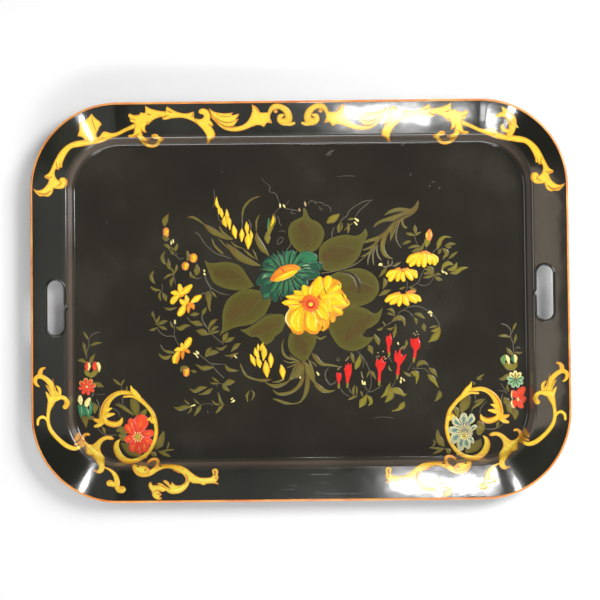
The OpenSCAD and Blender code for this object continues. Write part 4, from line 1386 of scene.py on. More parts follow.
def right_leaves():
    """The leaf sprays and thin stems on the right of the bouquet."""
    p = Painting("right_leaves", 0.08)
    p.strokes(STEM,
        [(136.4, 23, 1), (136.6, 16, 1), (135, 10, 1)],
        [(159.4, 39, 1), (156, 33, 1.3), (150.6, 22, 1.3), (142, 16, 1.2)],
        [(150, 20, 0.8), (158, 17.4, 1), (165.4, 20, 1), (170.4, 27, 0.9)],
        [(168, 57, 1), (173, 63, 1.3), (178, 67, 1.4)],
        [(131, -13.4, 0.8), (140, -9, 1.2), (150, -8.8, 1.2), (160, -13, 1.2), (170, -21, 1.3),
         (176, -30, 1.3), (177.4, -36, 1.4)],
        [(124, -18.6, 0.8), (130, -14, 1.1), (138, -15.6, 1.2), (143.4, -21.4, 1.4)],
        [(103, -36, 0.8), (110, -32, 1.2), (118, -27.4, 1.4)],
        [(72, -65, 0.8), (78, -73, 1.3), (79.8, -82, 1.1), (78, -87, 0.8)],
        [(72, -65, 0.8), (81, -76, 1.3), (86.4, -88, 1.2), (89.4, -100, 1.1), (88.4, -112, 1.1),
         (83, -120, 1)],
        [(136, -91, 0.8), (139.4, -84, 1.1), (142.4, -80, 0.8)],
        [(120.6, -102, 0.8), (118, -108, 1.1), (114, -112, 0.8)],
        [(142, -87.6, 0.8), (150, -88, 1.1), (157, -88.4, 1), (164, -94, 0.8)],
        [(49, -111, 0.8), (54, -118, 1.1), (61, -122.4, 1)],
        [(60, -110, 0.8), (62.4, -116, 1), (66, -120, 0.8)],
        [(80, -109, 0.7), (87, -117, 1), (97, -113, 1), (103, -109, 0.7)],
        [(147, 82, 0.7), (148, 76, 1), (151, 70, 0.9), (155, 67, 0.7)],
        [(162, 69, 0.8), (161.6, 64, 1), (160, 60, 0.8)], [(188, 50, 0.6), (190, 46, 0.9), (188, 42, 0.6)],
        [(116, -80, 0.6), (112, -73, 0.9), (109.4, -75, 0.6)])
    p.strokes(LEAF,
        [(147.2, 95.4, 0.8), (147.4, 90.4, 5), (148.4, 84.8, 3)],
        [(137, 84.2, 2.6), (141.4, 83.2, 4.2), (147.6, 82, 1)],
        [(155, 86, 0.8), (151.4, 84, 3), (148.8, 82, 1)],
        [(131.6, 70.2, 0.8), (136.4, 73, 4), (140.6, 74, 2.8)],
        [(139, 65.6, 1), (144, 67.4, 3.6), (149, 68, 3.2), (153.6, 66.8, 0.8)],
        [(143, 60.6, 1.4), (149, 63, 5.4), (155, 64.2, 4.4), (157.6, 69, 3.2), (158, 72, 0.8)],
        [(186, 68, 2), (192, 70.2, 4.8), (199, 70.4, 0.9)],
        [(186, 67.6, 1.4), (190, 66, 3), (193.6, 66, 0.9)],
        [(179.6, 63.6, 2), (178.6, 61, 4.4), (177.4, 58.6, 2.4)],
        [(182, 64.4, 1.6), (186, 61.6, 6), (187.6, 57.4, 5.4), (184.4, 54, 3), (183, 50.6, 0.8)],
        [(190.6, 51.8, 1.6), (195, 55.8, 4.4), (201.4, 60.2, 0.8)],
        [(170.4, 31, 1.6), (165.4, 34, 4.6), (159.4, 33, 3)],
        [(170, 32.4, 1.4), (165, 37.4, 4.8), (159.8, 38.6, 2)],
        [(170.6, 33, 1.4), (168, 39, 5), (163.4, 41.4, 2.4)],
        [(171, 30, 1.4), (164, 28.8, 4.4), (157.6, 27.8, 1)],
        [(172, 29.4, 1.4), (176, 26, 5.2), (181.4, 24.4, 0.9)],
        [(172, 31, 1.2), (176, 32.2, 3.2), (179, 31.4, 1.6)],
        [(111.4, 41.4, 0.8), (107.4, 36.6, 5.2), (103, 31.2, 2.4), (100.6, 29.2, 0.8)],
        [(107, 28, 0.8), (108.8, 22, 6), (106.8, 16.4, 2.8), (105.6, 14, 0.8)],
        [(115.6, 12.4, 0.9), (109, 9.8, 6.2), (103.4, 7, 3.2), (100.6, 5.2, 0.8)],
        [(127.4, 13.8, 2), (130.4, 14.4, 3.2), (134, 16, 1)],
        [(147.4, 11.6, 3), (143.4, 13.6, 3.8), (139, 16, 0.8)],
        [(111, -12.4, 1), (115.6, -12.6, 4), (118.8, -16, 3), (120.2, -21, 0.8)],
        [(110.8, -17.4, 1), (114.6, -18, 3.2), (118.8, -20.4, 0.8)],
        [(116.6, -28.4, 1), (120.6, -24.6, 5), (126.6, -23, 6.4), (131.4, -26.4, 4.6), (133.2, -34, 0.8)],
        [(145, -23, 1), (147.4, -26.4, 4.2), (148, -30.8, 1.8)],
        [(145.8, -18.2, 1.4), (150.4, -19, 5), (154.6, -21.6, 3.8), (158.6, -24.4, 0.8)],
        [(157, -31, 1.6), (157, -35.4, 6.2), (158.4, -39.6, 2.2)],
        [(175, -34.6, 1), (170, -34.8, 3.2), (164.8, -36.2, 0.8)],
        [(120.6, -31, 0.8), (121.2, -37, 3), (119.8, -42.4, 5), (118.6, -47.2, 1.8)],
        [(94, -43.4, 0.9), (96, -48, 5), (98.8, -53.4, 6), (99.4, -57, 1.6)],
        [(86.6, -57.8, 1.2), (88.6, -62, 7.2), (91.6, -69, 1.2)],
        [(134.6, -51.8, 1), (135, -56, 4), (133.4, -60, 1.4)],
        [(133.4, -58, 1), (130, -61, 2.6), (127.2, -63.4, 1)],
        [(64.2, -66.8, 0.9), (65.8, -72.6, 5.2), (67.4, -79.4, 1.8)],
        [(88, -90, 1), (85.6, -94, 2.8), (84, -98.6, 0.8)],
        [(88, -90, 1), (91.4, -94, 4.4), (95.4, -100.8, 0.9)],
        [(68, -108.8, 1.2), (66.4, -115, 4), (67.2, -121.4, 1.2)],
        [(70, -109, 1), (71, -115, 2.8), (70.2, -121.4, 1)],
        [(71.4, -122.2, 1), (65.6, -124, 3.4), (59.6, -126.8, 0.8)],
        [(75.8, -116.6, 1.2), (77.2, -119.6, 3), (78, -122.4, 1)],
        [(148, -87.4, 0.8), (149.4, -83, 4.6), (153.4, -80.4, 6.4), (158, -80.6, 4), (162.4, -84.6, 0.8)],
        [(130.8, -91.8, 1), (134.6, -94.8, 3.6), (139.4, -97.2, 2.6)],
        [(163.8, -88, 2.4), (168, -91.2, 6.4), (171.8, -96, 3), (173.4, -98.6, 0.8)],
        [(175.8, -117.6, 3), (176, -122, 7), (173.2, -126.8, 4), (169.6, -129.8, 0.8)],
        [(112.4, -84.6, 1), (112.6, -88, 2.6), (116, -90.6, 0.8)],
        [(98.4, -38, 2.4), (102.4, -37.4, 3.4), (105, -36, 0.8)],
        [(110.6, -36.6, 1.2), (114.4, -37.4, 3.4), (119, -35.4, 0.9)],
        [(105, -28, 1), (107, -31, 2.4), (108, -34, 0.8)])
    p.strokes(LEAF_LIT,
        [(176, 63.6, 1), (177.6, 70, 6), (180.8, 76.6, 5.4), (186.6, 79.6, 2.8), (193, 78.6, 0.8)],
        [(181, 36.2, 0.9), (184, 42.6, 5.4), (189.4, 45.6, 6), (195.4, 44, 1)],
        [(189.6, 37.6, 3), (195, 38.4, 6.6), (198.6, 41.6, 5), (200.2, 46.6, 0.8)],
        [(192, 33, 1), (199, 34, 5.4), (206, 38.4, 5), (214, 40, 1)],
        [(177.4, -36, 1), (176.2, -42, 5), (171.4, -48, 9.4), (166, -52.4, 3.4), (162.6, -54.8, 0.8)],
        [(177, -36, 1), (172, -39.6, 4.6), (166.6, -40.8, 0.9)],
        [(75.4, -70.6, 0.9), (74.2, -77, 6.4), (71.4, -83.6, 6.6), (69.4, -88, 1.4)],
        [(83, -120.6, 1), (81.4, -125, 5.6), (78, -130.4, 9.4), (74.4, -136.4, 2)],
        [(83.4, -121, 1), (87.8, -126, 5), (88.8, -131, 4.4), (85.4, -134.4, 1)],
        [(113.4, -106.4, 0.9), (111.2, -112, 5.4), (109, -118, 6.2), (101.6, -124.4, 0.9)],
        [(112, -112.6, 4), (113.8, -121, 10), (110.4, -127, 5.6), (106.6, -130.4, 0.8)],
        [(114, -113.6, 2.4), (121, -115.2, 8.4), (127, -118.4, 5.8), (131, -121.8, 3),
         (134.4, -119.8, 0.8)],
        [(130.6, -130.8, 2), (128.6, -134.8, 7.6), (123.4, -139.4, 3.6), (115.6, -141.8, 0.8)],
        [(140.6, -92.8, 2), (145, -94, 8.2), (148, -97.6, 5.6), (146.6, -107.4, 0.8)],
        [(162, -96.8, 2.4), (166.6, -100.6, 7.4), (170.6, -105.6, 4.6), (174.6, -112.4, 0.9)])
    p.strokes(LEAF_DIM,
        [(113, 49.6, 1.4), (112.4, 46, 2.2), (113.6, 43.6, 0.8)],
        [(117.6, 50, 1), (118, 46.6, 2.2), (115, 44, 0.8)],
        [(120, 42.6, 2), (124, 45, 4), (128.6, 47.6, 1)],
        [(104, 44.6, 1), (108, 42, 2.2), (116, 43.6, 1.6), (120, 43.4, 0.8)],
        [(76.8, -91.4, 1.4), (78, -97, 2.4), (79.4, -100.6, 0.8)],
        [(141, -92, 0.8), (138, -96, 1.4), (135.6, -95, 0.8)])
    p.finish()


def tendrils():
    """Hair-thin curls and sprigs over the top of the bouquet."""
    p = Painting("tendrils", 0.12)
    p.strokes(STEM,
        [(11.4, 122.6, 0.7), (13.4, 126.4, 1.1), (18, 127.2, 1.2), (21.6, 123.4, 1)],
        [(21, 126, 0.8), (29, 124.4, 1.2), (32.4, 121.8, 1.1), (37, 120.6, 1.1), (40.2, 117, 1.1),
         (40, 112.6, 0.7)],
        [(26, 120, 0.7), (27.4, 115.6, 1), (31, 118, 0.7)],
        [(52, 100, 1.4), (57, 105.2, 1.6), (60.6, 107, 1.4), (64, 114, 1.4), (72, 120, 1.3),
         (82, 125.6, 1.3), (94, 127.6, 0.8)],
        [(71.6, 106.6, 1), (77, 114, 1.4), (85, 121, 1.3), (91, 126, 0.8)],
        [(-30, 109, 0.7), (-26.4, 106, 1), (-25, 99, 1.1), (-22.4, 95.4, 0.7)],
        [(-28.4, 76, 0.8), (-28, 72.4, 1.1), (-23, 75, 1.3), (-21, 80, 1.1), (-25, 80.6, 1),
         (-28.4, 76.4, 0.8)],
        [(-26, 88, 0.6), (-21, 89.6, 1), (-18.4, 87, 0.7)],
        [(-11.4, 74, 0.8), (-12.4, 69, 1.3), (-16, 66.4, 0.8)],
        [(36, -85, 0.8), (31.2, -92, 1.8), (32, -101, 2), (37, -107, 2), (43, -105, 1.6),
         (45.4, -101.6, 0.8)],
        [(45.4, -75.6, 0.8), (47.6, -73.4, 1.1), (49.6, -75.6, 1.1), (47.6, -77.8, 1.1), (45.6, -76, 0.8)],
        [(-43, 151.6, 0.6), (-37, 146, 0.8), (-38, 140, 0.8), (-30, 137, 0.9), (-27, 130, 0.9),
         (-24, 123.4, 0.9), (-17, 118, 1), (-8, 116, 1.1), (-1.4, 114.6, 0.9)],
        [(-48, 158, 0.5), (-44, 152, 0.7)], [(-22, 121, 0.8), (-15.6, 124, 0.9), (-13.4, 128, 0.6)],
        [(-24, 119, 0.7), (-29, 115, 0.9), (-33, 109, 0.7)],
        [(-8, 116, 0.7), (-10.4, 112, 1), (-5, 111, 0.8)], [(44.6, 93, 1.2), (42, 87.4, 2), (41, 80, 1)])
    p.stroke([(36.8, 100, 4), (40.6, 102.6, 9.4), (45.6, 105.8, 8.4), (51.4, 110, 0.9)], LEAF_LIT)
    p.strokes(LEAF,
        [(53, 99, 1.4), (50.2, 94, 4.4), (50, 87.6, 3)], [(54.4, 98, 1), (54, 92, 2), (50.8, 87.4, 1)],
        [(62, 98, 1.4), (62.6, 91.6, 3.4), (62, 86, 1.4)], [(69, 99, 0.8), (62, 94, 1.8), (57, 88.8, 0.8)],
        [(62.6, 103, 1.4), (66, 103.6, 3), (70, 104, 1.4)])
    p.strokes(TAN, [(7.2, 126, 1.4), (7.8, 123, 3.2), (8.2, 120.4, 1.2)], [(0, 117, 2.4), (0.4, 115, 2.6)])
    p.finish()


def bottom_grasses():
    """The grass blades that fan out below the bottom leaf."""
    p = Painting("bottom_grasses", 0.30)
    p.strokes(BLADE,
        [(-21.4, -49, 0.8), (-23.4, -57, 2.2), (-22.4, -66, 3.2), (-18, -72, 3.2), (-8, -75.6, 1.6),
         (-2, -78, 0.8)],
        [(-14, -69.4, 0.9), (-8, -74, 2), (-1, -78, 1)],
        [(-23, -75.4, 0.7), (-16, -78.6, 1.8), (-9, -78.4, 2), (-2, -78, 0.8)],
        [(-17.6, -85.4, 0.8), (-11, -83, 2), (-3, -79.4, 1)],
        [(-2, -79, 4), (-5, -87, 9), (-9.4, -95, 8), (-15, -101, 2)],
        [(3, -79, 3), (1.4, -86, 8), (-2, -92.4, 7.6), (-6, -98, 2)],
        [(-14, -101, 1), (-21, -105.4, 3.6), (-31, -108.4, 5.4), (-38, -107.4, 3.6), (-44.6, -104.6, 0.8)],
        [(-22.6, -99.6, 3), (-28, -102.4, 2.6), (-36, -103.4, 1)],
        [(-38, -99.8, 0.8), (-46, -101, 4.4), (-56, -100.2, 2.8), (-66, -97, 3), (-72, -92, 2.8),
         (-76, -83, 1.8), (-76.6, -79.6, 0.8)],
        [(4.4, -88, 1), (2, -100, 4.6), (-3, -109, 4.8), (-12, -116, 4), (-22, -118.6, 4.4), (-30, -118, 3),
         (-35.6, -113.6, 0.8)],
        [(7, -88, 1), (8.4, -100, 5.4), (7.4, -112, 6), (4, -122, 4), (-2, -129, 2), (-10, -131, 1.6),
         (-20, -130, 3.6), (-30, -126.4, 3), (-35.8, -124.6, 0.8)],
        [(5, -80, 4), (9, -88, 9), (13, -96, 8), (17, -103.6, 3)],
        [(9.4, -74, 1), (12.6, -84, 4), (15.4, -94, 4.6), (17, -102, 1.6)],
        [(16.4, -103.4, 1.6), (21, -109, 6), (28, -114.4, 6), (36, -116, 3), (43, -114.4, 0.8)],
        [(14.6, -67.6, 1), (18.4, -72, 6), (23, -78, 6), (28, -81.4, 4), (37, -82.4, 3), (46, -84, 2),
         (49, -86, 0.8)],
        [(12, -77, 0.8), (17, -80.6, 1.8), (20.4, -84.4, 0.8)],
        [(18, -43.6, 1), (22, -47.6, 3), (27, -48.6, 2.6), (32.4, -45.4, 0.8)])
    p.strokes(STEM_DARK,
        [(4, -80, 0.8), (5, -90, 1.4), (3, -99, 0.6)], [(-4, -80, 0.5), (-7, -88, 1.2), (-11, -96, 0.5)])
    p.finish()


def light_dots():
    """Pairs of cream touches like small buds, scattered through the leaves."""
    p = Painting("light_dots", 0.45)
    touches = (
        [(101, 44, 1.6), (102.4, 45.6, 3)], [(103.6, 43.4, 1.4), (104.4, 45.4, 2.6)],
        [(181, 36.4, 1.6), (182.6, 34.4, 2.6)], [(184.6, 34.6, 1.4), (187, 32.4, 2.6)],
        [(163.4, -17, 2), (165.6, -15.6, 2.4), (167.4, -17.4, 2)], [(165.6, -18.6, 1.4), (167, -21, 2.2)],
        [(71.4, 104, 2), (74.6, 101.4, 3.2)], [(70.4, 99.6, 1.6), (73, 96.6, 2.6)],
        [(20.4, -91.4, 1.6), (22.4, -94.4, 2.8)], [(-0.8, -96.6, 1.6), (-1, -98.4, 2.2)],
        [(-24.4, 123, 2), (-24.2, 120, 2.2)], [(-20, 122.4, 2), (-18.6, 120, 2.4)],
        [(78, -103, 2), (79, -106.6, 3)], [(81, -104.6, 2), (81.4, -107.4, 2)],
        [(127.6, -99.6, 2.2), (127.4, -101.4, 1.8)], [(127, -104, 2.6), (127, -105.4, 2.2)],
        [(130.4, -101.4, 2), (131.4, -103, 2)], [(124, -55.4, 2.4), (124.4, -56.4, 2)],
    )
    for touch in touches:
        p.stroke(touch, CREAM)
    return p


def petalled(p, *petals):
    """Yellow petals with an orange rim and a paler ridge."""
    p.strokes(YELLOW, *petals)
    for petal in petals:
        p.stroke([(x, y, w * 0.35) for x, y, w in petal], YELLOW_PALE)


def left_flowers():
    """The small yellow flowers and round buds on the left of the bouquet."""
    p = Painting("left_yellow_flowers", 0.20)
    p.strokes(ORANGE,
        [(-154, 6.4, 2), (-149, 8, 2.4)], [(-141, -3, 5), (-137, -6, 6), (-136, -9, 2)],
        [(-142, -5, 4), (-142.6, -9.4, 5), (-142.6, -13.4, 2)],
        [(-147, -61, 5), (-143, -63.6, 4), (-141.6, -64.6, 2)],
        [(-150, -62, 4), (-150.4, -67.6, 4.6), (-150.6, -72.4, 2)],
        [(-155, -65, 4), (-156.4, -72, 4), (-158, -78, 2)])
    petalled(p, [(-151, 10.4, 5), (-145, 15, 9), (-139.6, 20, 5)],
             [(-152, 10.4, 5), (-152.6, 16, 7), (-153.6, 20.6, 5)],
             [(-154, 9.6, 4), (-159.6, 11.4, 7), (-163, 12, 4)],
             [(-155, 8, 4), (-160.4, 3.4, 8), (-162.6, 0.4, 7)],
             [(-145, -1, 5), (-144.4, 3, 6.4), (-145.4, 7, 3.4)],
             [(-147, -3, 5), (-150.4, 0, 7), (-152.4, 2, 4)],
             [(-148, -5, 5), (-150.6, -11, 9), (-153.4, -15, 7.4)],
             [(-138, -0.4, 4), (-132.6, 3.6, 8), (-128, 6.4, 5)],
             [(-147, -58, 6), (-144, -53, 9), (-141.4, -48.6, 7)],
             [(-150, -60, 4), (-151, -56, 5.4), (-151.4, -53.6, 3)],
             [(-151, -60.4, 4), (-156, -60.6, 6), (-159.4, -61.4, 3)],
             [(-156, -64, 4), (-160.4, -71, 6.6), (-161, -76, 5)])
    for (x, y), (w, h) in (((-135.6, 55.6), (10.4, 11)), ((-146, 45.4), (10, 10)), ((-170.4, 88.6), (8, 12)),
                           ((-146, -89.4), (8.6, 11))):
        p.stroke([(x, y + (h - w) / 2 + 0.6, w), (x, y - (h - w) / 2 - 0.6, w * 0.94)], CORAL)
        p.stroke([(x + 0.8, y + 1.4, w * 0.62), (x + 0.4, y - 1, w * 0.5)], YELLOW)
        p.stroke([(x - 1.4, y + 0.8, 1.6), (x - 1, y - 1.4, 1.2)], ORANGE)
    p.strokes(LEAF,
        [(-172.4, 82.4, 6), (-170, 80.4, 6.4), (-168, 80.4, 3)],
        [(-143.6, 64, 3), (-142, 58, 5), (-142.6, 54, 4)],
        [(-152.4, -88, 3), (-150.6, -84, 5), (-146, -83.4, 4), (-143.6, -82.8, 1)])
    p.finish()


def left_leaves():
    """The leaf sprays and thin stems on the left of the bouquet."""
    p = Painting("left_leaves", 0.08)
    p.strokes(STEM,
        [(-121.6, 34, 1.6), (-119.6, 27, 1.8), (-115, 19, 2), (-111, 15.6, 1.6), (-101, 10.4, 1.4),
         (-90, 8, 0.8)],
        [(-114.6, 18, 1.4), (-114.4, 13, 1.2)], [(-127, 9, 1.4), (-122.4, 10.6, 1.8), (-117.6, 10.6, 1)],
        [(-125, -17, 1.6), (-125, -23, 1.8), (-121, -31, 1.6), (-116, -37, 1.2)],
        [(-113, -42, 0.8), (-106, -48, 1.3), (-98, -54.4, 1)],
        [(-130.6, -66.4, 1), (-121, -74, 1.4), (-114, -79, 1.4), (-97, -80, 0.7)],
        [(-114, -79, 1), (-108, -88, 1.3), (-98.4, -97, 1.6)],
        [(-144, -20, 0.8), (-140.6, -24.4, 1.6), (-139, -27, 0.8)],
        [(-183, -32, 1), (-179, -38.6, 1.4), (-171, -43.4, 1.3), (-163, -43.6, 1.3), (-158, -47, 0.8)],
        [(-160, -27, 0.8), (-160.6, -36, 1), (-160.4, -45, 0.9), (-157.6, -51, 0.9), (-155, -56, 0.6)],
        [(-128, -131, 0.8), (-118, -129.8, 1), (-112, -132, 0.8)],
        [(-108, -109, 0.8), (-105.6, -104.4, 1), (-101.4, -105, 0.8)],
        [(-164.4, 62, 1.4), (-158.4, 59.4, 1.4), (-154, 55, 1.4), (-148, 56, 0.7)],
        [(-159, 64, 0.8), (-156.4, 60, 1)], [(-176, 22, 1.4), (-175.6, 17, 1), (-177, 13, 0.8)],
        [(-161, 37, 0.8), (-160, 28, 1), (-158.4, 22, 0.8)],
        [(-178, -55, 1.6), (-176, -59.4, 2), (-172, -62, 1)],
        [(-137, 31, 1), (-131, 29.6, 1.4), (-126, 30.6, 0.8)],
        [(-109, 143, 0.5), (-108, 132, 0.8), (-110, 120, 0.5)])
    p.strokes(LEAF,
        [(-167, 112.4, 0.8), (-169.4, 108.6, 5), (-171.6, 103.4, 8), (-172, 99, 4)],
        [(-173, 73.4, 1.4), (-169, 71.6, 5), (-166.4, 68.6, 3)],
        [(-156, 74.4, 1.2), (-157.4, 69, 4.4), (-158.6, 65.6, 2)],
        [(-166.4, 66.6, 1.2), (-162.6, 63.6, 3), (-160.4, 61.6, 1)],
        [(-164.4, 70, 1), (-161.6, 67.6, 2.4), (-160, 67, 1)],
        [(-172.6, 64, 1.6), (-175.4, 57, 4.4), (-173.6, 50.6, 4), (-171.4, 48, 0.8)],
        [(-169.6, 49, 2), (-167.4, 44, 3), (-165, 41.6, 1)],
        [(-168, 55, 1), (-167, 49, 3.6), (-165.4, 43.4, 1)],
        [(-164, 43.6, 0.8), (-162, 39.4, 3), (-160, 36.4, 1)],
        [(-157.4, 47.6, 0.9), (-157.6, 42, 3.6), (-160, 36.6, 1)],
        [(-173.4, 29.6, 1), (-168, 33.8, 3.4), (-160.4, 36, 1.4)],
        [(-161.4, 31.4, 2.6), (-164, 26, 5), (-164.4, 19.4, 1)],
        [(-186.4, 39.4, 1.2), (-189.6, 34, 4.4), (-188.6, 28, 4), (-185, 23.4, 0.8)],
        [(-190, 19, 2), (-185, 16, 4), (-179, 15.4, 1.4)],
        [(-178, 14, 1), (-179.6, 8, 3.4), (-178, 2.4, 1.4)],
        [(-175.4, 12, 1), (-172.6, 6.4, 6), (-171, 1.4, 2)],
        [(-173.6, -7, 0.9), (-167, -9.2, 4), (-158, -7.4, 1.2)],
        [(-188.4, -12.4, 1.6), (-188, -16.4, 4), (-186.4, -20, 1.6), (-182.6, -29, 0.8)],
        [(-179.4, -17.6, 1), (-181.6, -23, 4), (-184, -28.4, 1)],
        [(-169.4, -24, 1), (-175.6, -25.6, 5), (-182.4, -29.4, 1)],
        [(-170, -35.4, 0.9), (-175, -33, 4.4), (-180.6, -31, 1)],
        [(-192, -35.6, 1.6), (-187.6, -34.8, 3.6), (-183.4, -33, 1)],
        [(-165.8, -25, 1), (-164, -30, 3), (-162, -33, 1)],
        [(-140, -30.4, 0.9), (-147, -30.8, 5), (-153, -34, 6), (-158.6, -32.4, 0.8)],
        [(-124.6, -30, 1.4), (-131, -27.6, 7), (-137, -26.4, 4), (-140, -25, 0.8)],
        [(-129, -15.6, 1), (-134.4, -15.8, 5.4), (-140.4, -17, 1)],
        [(-119.6, -7.4, 1), (-122.4, -12, 5), (-125, -17, 1.6)],
        [(-117.8, 10.8, 5), (-117, 6, 8), (-116.4, 0, 5.4), (-116, -8, 3), (-114.6, -13, 0.8)],
        [(-113.8, 13, 1), (-111, 10, 3.4), (-107, 5.4, 0.8)],
        [(-131.4, 48, 1), (-131, 43, 6), (-131.4, 38, 8), (-132, 35.4, 4)],
        [(-139.6, 38, 1.4), (-139, 33.4, 4), (-134, 30.6, 2.4)],
        [(-132.6, -37, 1.4), (-125.4, -38.6, 9), (-119.6, -41, 4), (-115.4, -41.6, 1)],
        [(-106, -23, 1.2), (-111.4, -26, 5.4), (-115.8, -32, 3), (-116.6, -40, 0.9)],
        [(-105.4, -32, 2), (-110, -34, 4.4), (-115, -40, 1)],
        [(-104.4, -38, 2.2), (-108.4, -38.8, 3), (-115, -41.4, 1)],
        [(-92, -39.8, 1), (-96, -45, 7), (-98.4, -51, 2)],
        [(-84, -46, 1), (-90, -48.6, 5.4), (-96.4, -52, 1)],
        [(-107.6, -59, 0.9), (-101, -60.6, 4), (-94.4, -56.6, 1)],
        [(-113.6, -58.6, 1), (-117.6, -62.4, 5), (-121.6, -69, 1)],
        [(-104.6, -64.6, 1.4), (-111, -64.6, 6.8), (-117, -67.4, 4), (-121, -70.4, 1)],
        [(-76.8, -54, 1.6), (-82, -57, 6), (-88.4, -64, 0.9)],
        [(-96.4, -69, 1), (-90, -69, 2.4), (-82, -66, 1)],
        [(-89, -72.4, 1), (-85.6, -68.8, 3), (-79.6, -66, 1)],
        [(-96.6, -80.4, 0.8), (-92.6, -86.4, 5), (-86, -88, 3.6), (-80, -88.4, 0.8)],
        [(-133.6, -80, 0.9), (-126, -84.6, 5), (-119.6, -84.4, 6), (-111.6, -84, 0.9)],
        [(-113, -96.4, 1), (-109, -100, 3), (-104.6, -103, 1)],
        [(-115.6, -103.4, 1), (-110.4, -104.4, 2.8), (-105, -104.4, 1)],
        [(-84, -102.4, 1), (-91, -102.8, 8), (-97.6, -106, 3)],
        [(-99.6, -105, 1.4), (-97, -110, 5.4), (-91, -114, 1)],
        [(-141.6, -110.8, 0.9), (-135.6, -114, 4.4), (-127.6, -110.4, 6), (-120, -109.2, 1)],
        [(-113, -110.6, 1.4), (-118, -114.6, 5.4), (-126, -117.6, 2), (-130, -117.8, 0.8)],
        [(-105.6, -116, 1), (-104, -122, 3), (-102.6, -128, 4), (-98.4, -131.4, 1)],
        [(-113, -126, 1), (-109.4, -130.4, 3), (-103.6, -131.4, 1)],
        [(-98.4, -131, 1), (-103.4, -136, 4.6), (-108.4, -142, 1.2)],
        [(-180.6, -66, 1), (-176, -70.4, 4), (-170, -70.8, 5), (-165, -68, 1.4)],
        [(-174.6, -61.4, 1.6), (-169, -63.4, 4), (-162, -64.4, 3)],
        [(-138.8, -88, 2.4), (-135.6, -89, 3.8), (-133.4, -89.4, 1.4)],
        [(-161.6, -134, 1), (-156, -136, 5), (-149, -134.4, 6), (-141, -133.4, 1.4)],
        [(-148.4, -125, 1), (-145.4, -128.4, 2.6), (-142, -131, 1)],
        [(-137, -123.4, 1), (-133.4, -127.4, 2.6), (-129.4, -130.4, 1)],
        [(-127.6, -131.6, 1), (-130.4, -136.6, 5.4), (-136, -145, 0.9)],
        [(-140, -134, 1), (-140.6, -138, 2.6), (-144, -141.4, 1)],
        [(-65.6, -114, 0.8), (-69, -120, 3.2), (-68, -128, 1)],
        [(-63, -113, 0.8), (-60, -119, 2.6), (-63, -126, 0.9)])
    p.finish()


